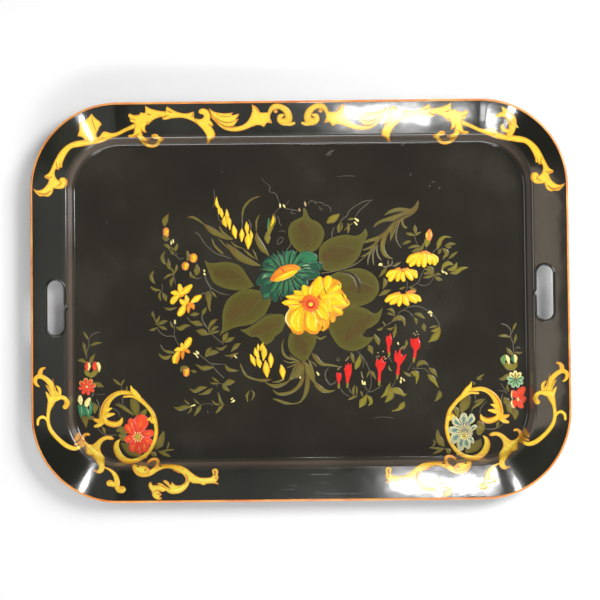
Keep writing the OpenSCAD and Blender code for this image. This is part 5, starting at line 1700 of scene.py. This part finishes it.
def upper_grasses():
    """The blades, the spike of yellow buds and the green bud at the upper left."""
    p = Painting("upper_grasses", 0.30)
    p.strokes(BLADE,
        [(-49.6, 133.6, 0.8), (-57, 132, 2), (-65, 126.6, 3), (-71, 118, 2.8), (-73, 106, 1.6),
         (-73, 96, 0.8)],
        [(-142, 107.4, 1.4), (-137.4, 108.4, 2.6), (-130, 104.8, 3), (-123, 99.8, 1.6)],
        [(-122, 99, 1), (-116, 94, 6), (-110, 89.4, 8), (-102, 85, 6), (-94, 80.6, 3), (-86, 79, 1)],
        [(-102, 96, 1), (-99.4, 90, 3), (-93, 84, 3), (-85, 79.4, 1)],
        [(-111.8, 80, 1.4), (-108.4, 71.4, 2.8), (-101, 63.4, 2.8), (-97, 60.4, 0.8)],
        [(-87, 76, 1), (-82, 71, 2.4), (-73, 67.4, 1)], [(-103, 80, 1), (-97, 73.4, 1.8), (-90, 66.4, 1)],
        [(-72, 67, 1), (-65, 60, 2.8), (-57, 54.4, 1)], [(-60, 66, 0.8), (-57, 60, 2.2), (-54, 52, 0.8)],
        [(-93, 73.4, 1.4), (-85, 65, 8), (-75, 56, 10), (-62, 49.4, 7), (-50, 45, 1)],
        [(-54.6, 88, 0.8), (-54, 80, 6), (-48, 68, 8), (-41, 60, 3), (-39.4, 57, 0.8)],
        [(-51, 110, 1), (-54.6, 102, 2.6), (-55, 90, 1.4)])
    p.strokes(STEM,
        [(-133, 88.4, 1.4), (-128, 85, 1.4), (-121, 74, 1.4), (-108, 62, 1.4), (-96, 57.6, 1.6),
         (-88, 54.6, 1)],
        [(-73, 108, 0.8), (-72.6, 100, 1.6), (-73.4, 93, 1)],
        [(-65, 104, 0.8), (-62, 98, 1.6), (-62, 92, 1)],
        [(-104, 112, 0.7), (-102.4, 104, 0.9), (-98, 98, 0.7)])
    for bud in ([(-105.4, 133.4, 1), (-105.4, 124.4, 4.6), (-103, 119, 2)],
                [(-102.4, 122.6, 1), (-102, 116, 4.6), (-102.4, 112, 1.6)],
                [(-99.4, 118.6, 1), (-99, 112, 5), (-98.6, 107.4, 1.6)],
                [(-92.6, 117.6, 1), (-92.2, 110, 5), (-91, 104, 1.6)],
                [(-95.4, 108.6, 1), (-95.6, 102, 7.4), (-93.6, 95.6, 2)],
                [(-93, 109, 1), (-90, 103, 6), (-88.8, 92, 1.6)],
                [(-84, 97.4, 1), (-83, 89, 7), (-81.4, 80.6, 1.6)],
                [(-73.5, 92.6, 1), (-73.5, 85, 6.6), (-74, 76.6, 1.6)],
                [(-67.6, 101, 1), (-67, 94, 6), (-67, 86, 1.6)],
                [(-65.8, 86.6, 2), (-65.2, 78, 9.6), (-65.6, 67.4, 2)],
                [(-62.6, 90.6, 1), (-61, 84, 4), (-61, 79, 1.4)],
                [(-54, -54.6, 1), (-54, -59.6, 4), (-54, -63.6, 1.4)],
                [(-47.6, -53, 1), (-49.4, -58, 4), (-51, -63, 1.4)],
                [(-47, -57, 2), (-46.4, -66, 7.6), (-47.6, -75, 2)],
                [(-58, -59.6, 1), (-56.6, -66.6, 6.6), (-53, -72, 1.6)],
                [(-64.2, -67.6, 1), (-61, -75, 6.4), (-58, -82.4, 1.6)],
                [(-56, -70.6, 1.4), (-53, -79, 7), (-52, -84.6, 1.6)],
                [(-38.4, -66.6, 1.4), (-38, -75, 7), (-38, -84.6, 1.6)],
                [(-45, -76.6, 2), (-44, -87, 9), (-43, -96.6, 2)],
                [(-25, -81.6, 1.4), (-23.4, -90, 8), (-22.4, -100, 1.2)]):
        p.stroke(bud, YELLOW)
        p.stroke([(x, y, w * 0.35) for x, y, w in bud], YELLOW_PALE)
    p.strokes(LEAF_LIT,
        [(-33, 110, 2), (-33, 103, 6.6), (-36.6, 95, 7), (-39, 87, 5)],
        [(-41.4, 86, 4), (-41, 80, 8.4), (-40.6, 75, 4)])
    p.stroke([(-33.4, 108, 1.4), (-33.4, 102.6, 3.6), (-36, 96, 1.6)], YELLOW)
    p.stroke([(-39, 105, 2), (-39.6, 99, 2.6), (-41, 93, 1)], TEAL_LIT)
    p.finish()


def red_corner(p, x, y, size, cream_from, cream_count):
    """A small red flower of eight petals; some of them have a cream edge."""
    petals = 8
    p.stroke([(x, y + 1, size * 1.1), (x, y - 1, size * 1.1)], RED_ORANGE)
    for i in range(petals):
        a = 2 * math.pi * (i + 0.25) / petals
        c, s = math.cos(a), math.sin(a)
        creamy = (i - cream_from) % petals < cream_count
        if creamy:
            p.stroke([(x + c * size * 0.45, y + s * size * 0.45, size * 0.4),
                      (x + c * size * 0.8, y + s * size * 0.8, size * 0.56)],
                     (ORANGE[0], CREAM[1], ORANGE[0]))
        reach = 0.74 if creamy else 0.78
        p.stroke([(x + c * size * 0.2, y + s * size * 0.2, size * 0.24),
                  (x + c * size * reach, y + s * size * reach, size * 0.48)],
                 RED_ORANGE)
        p.stroke([(x + c * size * 0.3, y + s * size * 0.3, 0.7),
                  (x + c * size * 0.66, y + s * size * 0.66, 1.1)],
                 (RED[1], RED[0], RED[2]))
    p.dot(x, y, size * 0.3, CREAM)


def corner_left():
    """The painted column and the red flower in the scroll, front left."""
    p = Painting("left_corner_leaves", 0.10)
    p.strokes(STEM,
        [(-270.5, -46, 1.3), (-270, -55, 1.5), (-272.5, -62, 1.5), (-273, -71, 1.4)],
        [(-270, -47, 1.1), (-266, -41, 1.3), (-260, -38, 1.3), (-255.6, -37.4, 0.8)],
        [(-267, -120, 1.2), (-264.5, -116, 2.4)], [(-261, -117, 0.6), (-250, -117, 0.7)],
        [(-261, -123, 1), (-257.5, -130, 1.5), (-257, -138, 1.3), (-258.6, -147, 1)],
        [(-228.5, -105.6, 1), (-228.4, -112, 1.2)],
        [(-233, -127.6, 0.7), (-224, -133, 1.2), (-214, -143, 1)],
        [(-241, -134, 0.7), (-234, -138.5, 1.2), (-230.4, -145, 0.8)],
        [(-228, -121, 1.2), (-227, -128, 1.5)],
        [(-259, -160, 0.7), (-253, -166.4, 1.3), (-245, -169, 1.3), (-235, -168, 0.8)])
    p.strokes(LEAF,
        [(-276.5, -37, 1), (-273.6, -42, 3.2), (-271, -46, 1.4)],
        [(-268, -55, 1), (-262, -52, 3.6), (-254, -51, 1)],
        [(-277.5, -50.4, 1), (-276, -55, 4), (-275, -60, 3), (-273, -68, 1.3)],
        [(-284, -73.4, 1), (-279, -73, 5), (-275.4, -75, 3.6)],
        [(-262.4, -66, 1), (-266, -71, 5), (-268, -76, 3.6)],
        [(-262, -102.4, 4), (-258, -104.4, 7), (-253.4, -106.4, 3), (-251.4, -107, 1)],
        [(-264, -128, 2), (-262.4, -133, 8), (-263, -139.4, 3)],
        [(-279, -145, 5), (-275.4, -149, 8.4), (-274.4, -155, 4), (-274, -158.6, 1)],
        [(-272, -146, 5), (-266, -146.6, 5), (-261.6, -149.4, 1.4)],
        [(-208, -147, 1), (-210, -140, 8), (-212, -132, 12), (-215, -125.6, 6.4)],
        [(-205.6, -147, 3), (-202, -143, 8), (-198.6, -138.4, 5)],
        [(-236.4, -129.4, 0.9), (-230, -132, 4), (-222, -137, 4.4), (-214, -143, 2)],
        [(-234, -163, 4), (-230, -162, 10), (-226, -164, 10)], [(-231, -169, 4), (-227, -172, 9)],
        [(-228, -180, 4), (-222, -184.4, 12), (-215, -189.6, 13), (-207.6, -194, 7)],
        [(-186, -187, 2), (-181, -181, 9), (-178, -173, 8), (-175.6, -166, 3)],
        [(-171.4, -187, 1.4), (-169.4, -182, 2.6), (-169, -178.6, 1)],
        [(-180, -190, 1.6), (-170, -188.6, 3), (-163, -187.8, 1.4)],
        [(-183, -189.4, 1), (-175, -193, 5), (-167, -197, 1)],
        [(-192, -190.6, 3), (-188, -193.6, 7), (-186, -195, 3)],
        [(-254, -158, 1), (-251.4, -162, 4.6), (-250, -166, 1.2)],
        [(-239, -97.4, 1), (-234, -102, 4), (-229, -105.6, 1.3)],
        [(-225, -98, 1), (-227.4, -102, 2.6), (-228.4, -105.6, 1)],
        [(-221.4, -107, 1), (-222, -111, 3), (-223, -112.6, 1)])
    p.finish()
    p = Painting("left_corner_flowers", 0.32)
    p.strokes(RED_ORANGE,
        [(-272, -77, 4.4), (-272.4, -81, 6.4), (-272, -85, 5)],
        [(-262.4, -77, 4.4), (-263, -81, 6), (-262, -85.4, 4.6)])
    p.strokes(CREAM,
        [(-270, -77.4, 2.6), (-269.4, -81, 3.4), (-270.4, -85, 2)],
        [(-258.4, -77.6, 4), (-257, -82, 4.8), (-257.2, -87.4, 2)])
    p.strokes(LEAF_LIT,
        [(-275, -87, 3), (-272, -90, 6.4), (-267.4, -94, 3.4)],
        [(-259.4, -87, 4), (-264, -90.4, 7), (-267, -94, 3.4)])
    red_corner(p, -272.6, -107, 10.6, 0, 4)
    p.strokes(CREAM,
        [(-281.4, -119.6, 4.4), (-281.4, -124, 7), (-280.4, -128.6, 3)],
        [(-270, -123, 5), (-272.4, -127.4, 7.4), (-274, -132, 4)])
    p.strokes(TEAL_LIT,
        [(-283, -131, 4), (-281, -137, 6), (-280.4, -143, 4)],
        [(-275, -134, 5), (-272.4, -140, 7), (-271, -143, 5)],
        [(-267.6, -127, 3), (-267.4, -134, 5), (-268.4, -140, 4)],
        [(-277.4, -131, 4), (-277, -137, 5), (-276.4, -142, 3)])
    p.strokes(TEAL_PALE,
        [(-280, -132, 1), (-279.4, -137, 1.8), (-279, -142, 1)],
        [(-273.4, -134, 1), (-271, -138.4, 2), (-271, -142, 1)], [(-268.6, -129, 1), (-268.4, -135, 1.6)])
    p.stroke([(-208, -168, 20), (-206, -175, 20)], RED_ORANGE)
    for petal in (
            [(-207, -166, 6), (-205.4, -158, 13), (-204, -152.4, 15)],
            [(-211, -165, 4), (-215, -157, 8), (-216.6, -152, 7)],
            [(-213, -168, 4), (-218, -162.4, 8), (-220.6, -159, 7.4)],
            [(-213, -171.4, 4), (-218.4, -173, 7.4), (-220.6, -174.4, 7)],
            [(-211, -176.6, 4), (-214, -182, 8.6), (-214.8, -185.4, 8)],
            [(-207.6, -178, 4), (-206.4, -184, 8), (-206, -188, 8)],
            [(-204, -176, 4.6), (-200.4, -181, 9), (-199.6, -185.4, 9)],
            [(-203, -173.6, 4), (-197, -176, 7.4), (-194, -177.4, 7)],
            [(-203, -169.6, 4), (-196.6, -167.4, 7.6), (-192, -166.6, 7)]):
        x, y, w = petal[-1]
        dx, dy = x + 208, y + 171
        out = 0.9 / max(1e-6, math.hypot(dx, dy))
        if x < -203:
            p.stroke([(x + dx * out, y + dy * out, w * 0.94),
                      (x + dx * out * 1.6, y + dy * out * 1.6, w * 0.9)],
                     CREAM)
        p.stroke([(px, py, pw * 1.32) for px, py, pw in petal], RED_ORANGE)
        middle = petal[1]
        p.stroke([(middle[0], middle[1], 1.1), ((middle[0] + x) / 2, (middle[1] + y) / 2, 1.8),
                  (x, y, 0.8)],
                 CORAL)
        p.stroke([((middle[0] - 208) / 2, (middle[1] - 171) / 2, 1),
                  (middle[0] + dy * 0.12, middle[1] - dx * 0.12, 1.2)],
                 (RED[2], RED[1], RED[2]))
    stamens(p, -208.3, -171.3, 5.5, 12)
    p.finish()


def stamens(p, x, y, radius, number):
    """A yellow middle with a ring of cream stamens round it."""
    p.stroke([(x, y + 1, 6), (x, y - 1.4, 5)], (srgb(176, 160, 46), srgb(210, 180, 70), srgb(150, 130, 36)))
    for i in range(number):
        a = 2 * math.pi * i / number
        reach = radius * (1.0 if i % 2 else 1.22)
        p.stroke([(x + reach * 0.62 * math.cos(a), y + reach * 0.66 * math.sin(a), 0.6),
                  (x + reach * math.cos(a), y + reach * math.sin(a), 1.5)],
                 CREAM)


def corner_right():
    """The painted column and the pale flower in the scroll, front right."""
    p = Painting("right_corner_leaves", 0.10)
    p.strokes(STEM,
        [(256, -32, 1.2), (262, -34, 1.6), (266, -37.6, 1.6), (268, -42, 1.5), (267.4, -49, 1.5),
         (270.4, -57, 1.4), (270.8, -66, 1.2), (271, -71, 1)],
        [(270.6, -41, 1), (268.6, -45, 1.2)], [(279.4, -64, 1.2), (276.4, -62, 1.6), (273, -64.4, 1)],
        [(251, -117, 0.7), (258, -118, 1.2), (262, -121, 0.8)],
        [(254, -108, 0.8), (258, -114, 1.2), (261, -118, 0.8)],
        [(256.6, -121, 0.8), (254.6, -128, 1.7), (255.4, -138, 1.5), (257.4, -146, 0.8)],
        [(234, -165.6, 0.8), (243, -165.8, 1.5), (251, -163.4, 1.4), (258, -157, 0.8)],
        [(221, -118, 1.4), (221.4, -124, 1.7), (222.4, -130, 1)],
        [(227, -145, 0.8), (229, -138, 1.4), (236, -130.6, 1)],
        [(216, -145, 1), (219, -138, 1.4), (223, -134, 1)])
    p.strokes(LEAF,
        [(274.6, -32, 2), (272.4, -36, 3.4), (270.4, -40.4, 1)],
        [(252.4, -47.6, 0.9), (259, -47.4, 4), (266.6, -49, 1.3)],
        [(274.4, -45.6, 1), (273.8, -50.4, 3.8), (272, -57, 1)],
        [(282, -68.6, 1), (278, -69.6, 3.4), (272.4, -68.6, 1)],
        [(262.6, -63, 1.4), (265, -67, 5), (268.4, -70.4, 4)],
        [(252, -102.4, 1), (257.4, -102, 5.4), (262, -99, 6)],
        [(262.4, -110, 1.4), (262.4, -114, 3.4), (264, -118, 1.4)],
        [(258.4, -127, 3), (260.6, -130.4, 9), (264, -134, 6)],
        [(262, -137.4, 4), (265, -141, 8.4), (267, -145, 3.4)],
        [(271, -142, 5), (272, -147, 9), (271.8, -154.4, 1)],
        [(234, -127.4, 0.9), (228, -132, 4.4), (222, -136, 3.8), (217, -140, 1)],
        [(231, -127.4, 0.9), (224, -130, 2.6), (220, -132, 1)],
        [(211, -127.4, 10), (209, -132, 13), (206, -138, 11), (204, -143, 4)],
        [(194.6, -138.6, 4), (197.6, -142.6, 8), (199, -148.4, 3.6)],
        [(225.6, -158, 6), (229, -163, 9.4), (226, -169, 8.4)], [(223, -163, 4), (225.6, -168, 8)],
        [(227, -180, 4), (223.6, -185, 12), (217, -189.6, 12), (210.4, -193.4, 6)],
        [(250.6, -155.6, 1), (249.6, -159.4, 4.6), (248.4, -163.4, 1.4)],
        [(173, -166.6, 2.4), (173.6, -175, 7), (177, -182, 9), (180.4, -186, 3)],
        [(167, -187, 1.4), (169.4, -182, 2.6), (167.4, -179.4, 1)],
        [(163, -188.6, 1.4), (172, -189.6, 3), (180, -190, 1.4)],
        [(167, -196.4, 1), (175, -192.6, 4.6), (180.6, -190, 1)],
        [(183.4, -190.6, 3), (187, -193.6, 7), (186, -195, 3)],
        [(216, -105, 1), (221, -108, 2.4), (219, -109, 1)],
        [(233, -96, 1), (229, -98.6, 3), (224, -101, 1.4)], [(229, -102.4, 2), (225, -102, 3)])
    p.finish()
    p = Painting("right_corner_flowers", 0.32)
    p.strokes(LEAF_LIT,
        [(258.6, -83, 4), (263.6, -86.4, 9), (269, -87.6, 8)],
        [(273.6, -81, 4), (272.6, -85.4, 6.4), (270.6, -89.4, 4)])
    p.stroke([(260, -73.4, 4), (257.4, -77.6, 6.6), (257.6, -82, 3)],
             (srgb(96, 146, 74), srgb(150, 186, 120), srgb(70, 116, 56)))
    p.stroke([(270, -73.6, 3), (269.4, -77, 3.6), (269.8, -80, 2)], TEAL_LIT)
    p.strokes(CREAM,
        [(262, -73.4, 3), (263.8, -77, 5), (264.8, -82.4, 2)],
        [(272.4, -72.6, 3), (273.4, -76, 5), (273, -80.4, 3)])
    p.stroke([(272.6, -103, 13), (273, -105, 13)], TEAL)
    for i in range(9):
        a = math.radians(90 + 40 * i)
        c, s = math.cos(a), math.sin(a)
        pale = CREAM if i in (0, 1, 8) else (srgb(150, 190, 146), srgb(190, 214, 164), srgb(90, 140, 104))
        p.stroke([(272.8 + 3 * c, -103 + 3 * s, 2.6), (272.8 + 6.4 * c, -103 + 6.4 * s, 6),
                  (272.8 + 8.6 * c, -103 + 8.6 * s, 5)],
                 pale)
        p.stroke([(272.8 + 2.6 * c, -103 + 2.6 * s, 1.4), (272.8 + 6 * c, -103 + 6 * s, 3),
                  (272.8 + 8.4 * c, -103 + 8.4 * s, 1.4)],
                 LEAF_LIT if i in (0, 1, 8) else TEAL_LIT)
    p.stroke([(272.6, -102, 2.4), (273, -104, 2.4)], LEAF)
    for petal in (
            [(276.6, -126, 4), (279, -120, 11), (282, -116, 8)],
            [(274, -126, 4), (271, -121.4, 9), (269.6, -119.6, 6)],
            [(278, -129, 4), (281.4, -129, 9), (283, -127.6, 7)],
            [(276.6, -130, 4), (278.4, -135, 9), (280, -137, 6)],
            [(274, -130, 4), (270.6, -133.4, 10), (270.4, -136.6, 6)]):
        p.stroke(petal, RED_ORANGE)
        x, y, w = petal[1]
        p.stroke([(petal[0][0], petal[0][1], 0.7), (x, y, 1.4)], (RED[2], RED[1], RED[2]))
    p.strokes(CREAM,
        [(268.4, -117.6, 0.8), (267.4, -123, 1.5), (268.6, -128, 0.8)],
        [(268, -130, 1), (267.4, -134, 2.6), (270, -139, 1.4)], [(275.6, -127.4, 3), (275.8, -129.4, 2.8)])
    p.stroke([(207, -162, 16), (206.4, -176, 17)],
             (srgb(112, 124, 112), srgb(96, 110, 104), srgb(120, 122, 104)))
    for petal in (
            [(206.4, -158, 5), (206.4, -152, 9), (206.4, -149, 7)],
            [(201, -160, 4), (196.6, -156.4, 8), (195, -153, 6.4)],
            [(201, -166, 5), (193.6, -167, 9), (190.6, -166.4, 7)],
            [(200, -172.6, 5), (195, -177, 10), (193, -180, 7)],
            [(204, -177, 5), (202.6, -184, 9), (202.2, -189, 6.6)],
            [(208.4, -177.6, 5), (209.6, -184, 9), (211.4, -188, 5)],
            [(212, -174.6, 3), (215.6, -179, 5), (217.4, -182, 3)],
            [(212.6, -158, 4), (216, -152.6, 8), (216.4, -149, 5)],
            [(215, -166, 3), (218.4, -164, 5), (221, -162, 3.4)]):
        p.stroke([(px, py, pw * 1.25) for px, py, pw in petal],
                 (srgb(190, 194, 160), srgb(226, 216, 160), srgb(130, 146, 132)))
        x, y, w = petal[1]
        p.stroke([(petal[0][0], petal[0][1], 2), (x, y, w * 0.72),
                  ((x + petal[2][0]) / 2, (y + petal[2][1]) / 2, w * 0.3)],
                 (srgb(94, 134, 124), srgb(128, 160, 146), srgb(74, 98, 96)))
    for i in range(18):
        a = 2 * math.pi * i / 18
        p.stroke([(207.6 + 3 * math.cos(a), -169.4 + 3 * math.sin(a), 2.6),
                  (207.6 + 11 * math.cos(a), -169.4 + 11 * math.sin(a), 0.8)],
                 (srgb(134, 128, 108), srgb(108, 110, 100), srgb(150, 140, 108)))
        p.stroke([(207.6 + 4 * math.cos(a + 0.17), -169.4 + 4 * math.sin(a + 0.17), 0.5),
                  (207.6 + 9.4 * math.cos(a + 0.17), -169.4 + 9.4 * math.sin(a + 0.17), 1.3)],
                 (CREAM[0], CREAM[1], TAN[0]))
    stamens(p, 206.6, -173.6, 4, 10)
    p.finish()


def more_dots(p):
    """The last small touches, laid over everything else."""
    p.strokes(CREAM,
        [(-161.4, 79, 2), (-161, 76, 2)], [(-163.8, 77.4, 1.8), (-163.8, 74, 2)],
        [(-122, 39.6, 2.6), (-121.6, 38.6, 2)], [(-122, 35.6, 2.2), (-121, 34.4, 2)],
        [(-160, -24, 2.4), (-159.8, -27, 2.2)], [(-136, -65.6, 1.4), (-133.6, -67, 2.6)],
        [(-132.6, -63.6, 2), (-130.6, -65.6, 3)], [(-132.8, -68.4, 1.6), (-131, -71, 1.6)],
        [(-84, -69.4, 1.6), (-82, -71.8, 2)], [(-89, -124.6, 1.8), (-87.4, -123.6, 2)],
        [(-88.4, -128.4, 1.4), (-85.6, -126.4, 2.6)], [(-140.4, -133.2, 1.4), (-136, -131.6, 2.2)])


def scuffs():
    """Where the lacquer has been knocked or rubbed: short pale scars, chips and pinpricks."""
    p = Painting("scuffs", 0.03)
    scar = (srgb(84, 81, 74), srgb(58, 55, 48), srgb(70, 67, 60))
    p.strokes(scar,
        [(35, 186, 1.4), (40, 189.4, 3), (45.4, 192, 1.2)], [(37, 184.6, 1), (41, 187, 2)],
        [(142, 158, 1), (143.4, 161, 1.6)], [(170, 149, 1.2), (172.6, 150.4, 2)],
        [(178, 141, 1), (180, 143, 1.6)], [(165.6, 144, 0.9), (167.4, 145, 1.4)],
        [(131, 197, 0.8), (134.6, 198.4, 1.4)], [(-246.6, 101.6, 0.8), (-245.6, 102.6, 1.3)],
        [(72, 75, 0.7), (73.6, 76, 1.2)], [(-120, -138.6, 0.8), (-118.6, -141.4, 1.6)],
        [(48, 158, 0.5), (60, 158.8, 0.9), (72, 158.4, 0.5)], [(-100, 168, 0.5), (-97, 165, 0.8)],
        [(92, -150, 0.5), (104, -149, 0.8), (118, -150.6, 0.5)])
    p.finish()


# ---------------------------------------------------------------- the tray
def build_tray():
    """Makes the skin, the beads and the edge line, and gives the CAD wires their look."""
    skin = tray_skin()
    for side in (-1, 1):
        cut_hand_hole(skin, side)
    soften_edges(skin)
    hand_hole_bead("hand_hole_bead_left", -1)
    hand_hole_bead("hand_hole_bead_right", 1)
    edge_line()
    for node in ("rim_wire", "hand_hole_wire_left", "hand_hole_wire_right"):
        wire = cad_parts[node]
        wire.data.materials.clear()
        wire.data.materials.append(WIRE)


# ---------------------------------------------------------------- floor, lights and camera
def paper_material():
    """White paper, with a soft change of tone over it."""
    m = Nodes("white_paper")
    place = m.add("ShaderNodeTexCoord").outputs["Object"]
    tone = m.noise(place, 3.0, 3.0)
    m.link(m.ramp(tone, [(0.3, (0.9, 0.9, 0.905, 1)), (0.7, (0.93, 0.93, 0.93, 1))]),
           m.shader.inputs["Base Color"])
    m.set(Roughness=0.9)
    m.link(m.bump(m.noise(place, 700.0), 0.00002, 0.3), m.shader.inputs["Normal"])
    return m.material


def lay_paper(half=3.0, cells=12, drop=0.0002):
    """A sheet of pale paper, in metres, just below the surface that the tray rests on."""
    verts = [(half * (2 * i / cells - 1), half * (2 * j / cells - 1), -drop)
             for j in range(cells + 1) for i in range(cells + 1)]
    row = cells + 1
    faces = [(j * row + i, j * row + i + 1, (j + 1) * row + i + 1, (j + 1) * row + i)
             for j in range(cells) for i in range(cells)]
    mesh = bpy.data.meshes.new("paper")
    mesh.from_pydata(verts, [], faces)
    paper = bpy.data.objects.new("paper", mesh)
    bpy.context.collection.objects.link(paper)
    mesh.materials.append(paper_material())


# Height of the panels above the tray, in millimetres
STUDIO_H = 4500.0
WARM = (1.0, 0.82, 0.66)
WORLD_STRENGTH = 0.15


def panel(name, low, high, radiance, tint=(1.0, 1.0, 1.0)):
    """A flat light panel that faces down, between two corners given in millimetres."""
    light = bpy.data.lights.new(name, "AREA")
    light.shape = "RECTANGLE"
    light.size = (high[0] - low[0]) * MM
    light.size_y = (high[1] - low[1]) * MM
    light.color = tint
    light.energy = radiance * math.pi * light.size * light.size_y
    lamp = bpy.data.objects.new(name, light)
    lamp.location = ((low[0] + high[0]) / 2 * MM, (low[1] + high[1]) / 2 * MM, STUDIO_H * MM)
    bpy.context.collection.objects.link(lamp)
    return lamp


def aimed_panel(name, place, size, radiance):
    """A flat light panel that faces the middle of the tray."""
    light = bpy.data.lights.new(name, "AREA")
    light.shape = "RECTANGLE"
    light.size, light.size_y = (s * MM for s in size)
    light.energy = radiance * math.pi * light.size * light.size_y
    lamp = bpy.data.objects.new(name, light)
    lamp.location = [p * MM for p in place]
    lamp.rotation_euler = (-lamp.location).to_track_quat("-Z", "Y").to_euler()
    bpy.context.collection.objects.link(lamp)
    return lamp


def light_studio():
    """Strips and spots that show as reflections in the border, dim panels and four soft lamps."""
    panel("strip_back", (205, -1592), (690, -1528), 62)
    panel("strip_back_end", (750, -1600), (900, -1510), 16)
    panel("strip_front", (460, 1758), (960, 1818), 85)
    panel("spot_corner_front", (-11, 1451), (141, 1542), 90)
    panel("spot_corner_back", (-8, -1367), (156, -1276), 90)
    panel("dim_side", (-1450, -569), (-1280, 865), 2.0, WARM)
    panel("dim_left", (1200, -900), (1600, 1000), 0.4)
    panel("dim_back", (-900, -1657), (150, -1300), 0.35)
    panel("dim_front", (-900, 1600), (460, 1900), 0.3)
    aimed_panel("low_front", (300, -2600, 1500), (2400, 700), 11)
    aimed_panel("low_back", (900, 2600, 1500), (800, 500), 8)
    aimed_panel("key", (1300, 750, 1500), (900, 900), 15)
    aimed_panel("fill", (-1500, 300, 1500), (900, 900), 2.4)
    world = bpy.data.worlds.new("studio")
    world.use_nodes = True
    background = world.node_tree.nodes["Background"]
    background.inputs["Color"].default_value = (1, 1, 1, 1)
    background.inputs["Strength"].default_value = WORLD_STRENGTH
    bpy.context.scene.world = world
    bpy.context.scene.view_settings.view_transform = "Standard"


def set_camera():
    """Almost straight above the tray, at 1.5 m."""
    camera = bpy.data.cameras.new("camera")
    camera.lens = 70.57
    camera.sensor_width = 36
    stand = bpy.data.objects.new("camera", camera)
    stand.location = (0.005, -0.033, 1.5)
    stand.rotation_euler = [math.radians(a) for a in (1.288, 0.21, -0.594)]
    bpy.context.collection.objects.link(stand)
    bpy.context.scene.camera = stand


set_camera()
lay_paper()
build_tray()
paint_gold()
big_leaves()
fern()
right_leaves()
tendrils()
bottom_grasses()
teal_flower()
rose()
daisies()
fuchsias()
left_leaves()
left_flowers()
upper_grasses()
corner_left()
corner_right()
dots = light_dots()
more_dots(dots)
dots.finish()
scuffs()
light_studio()
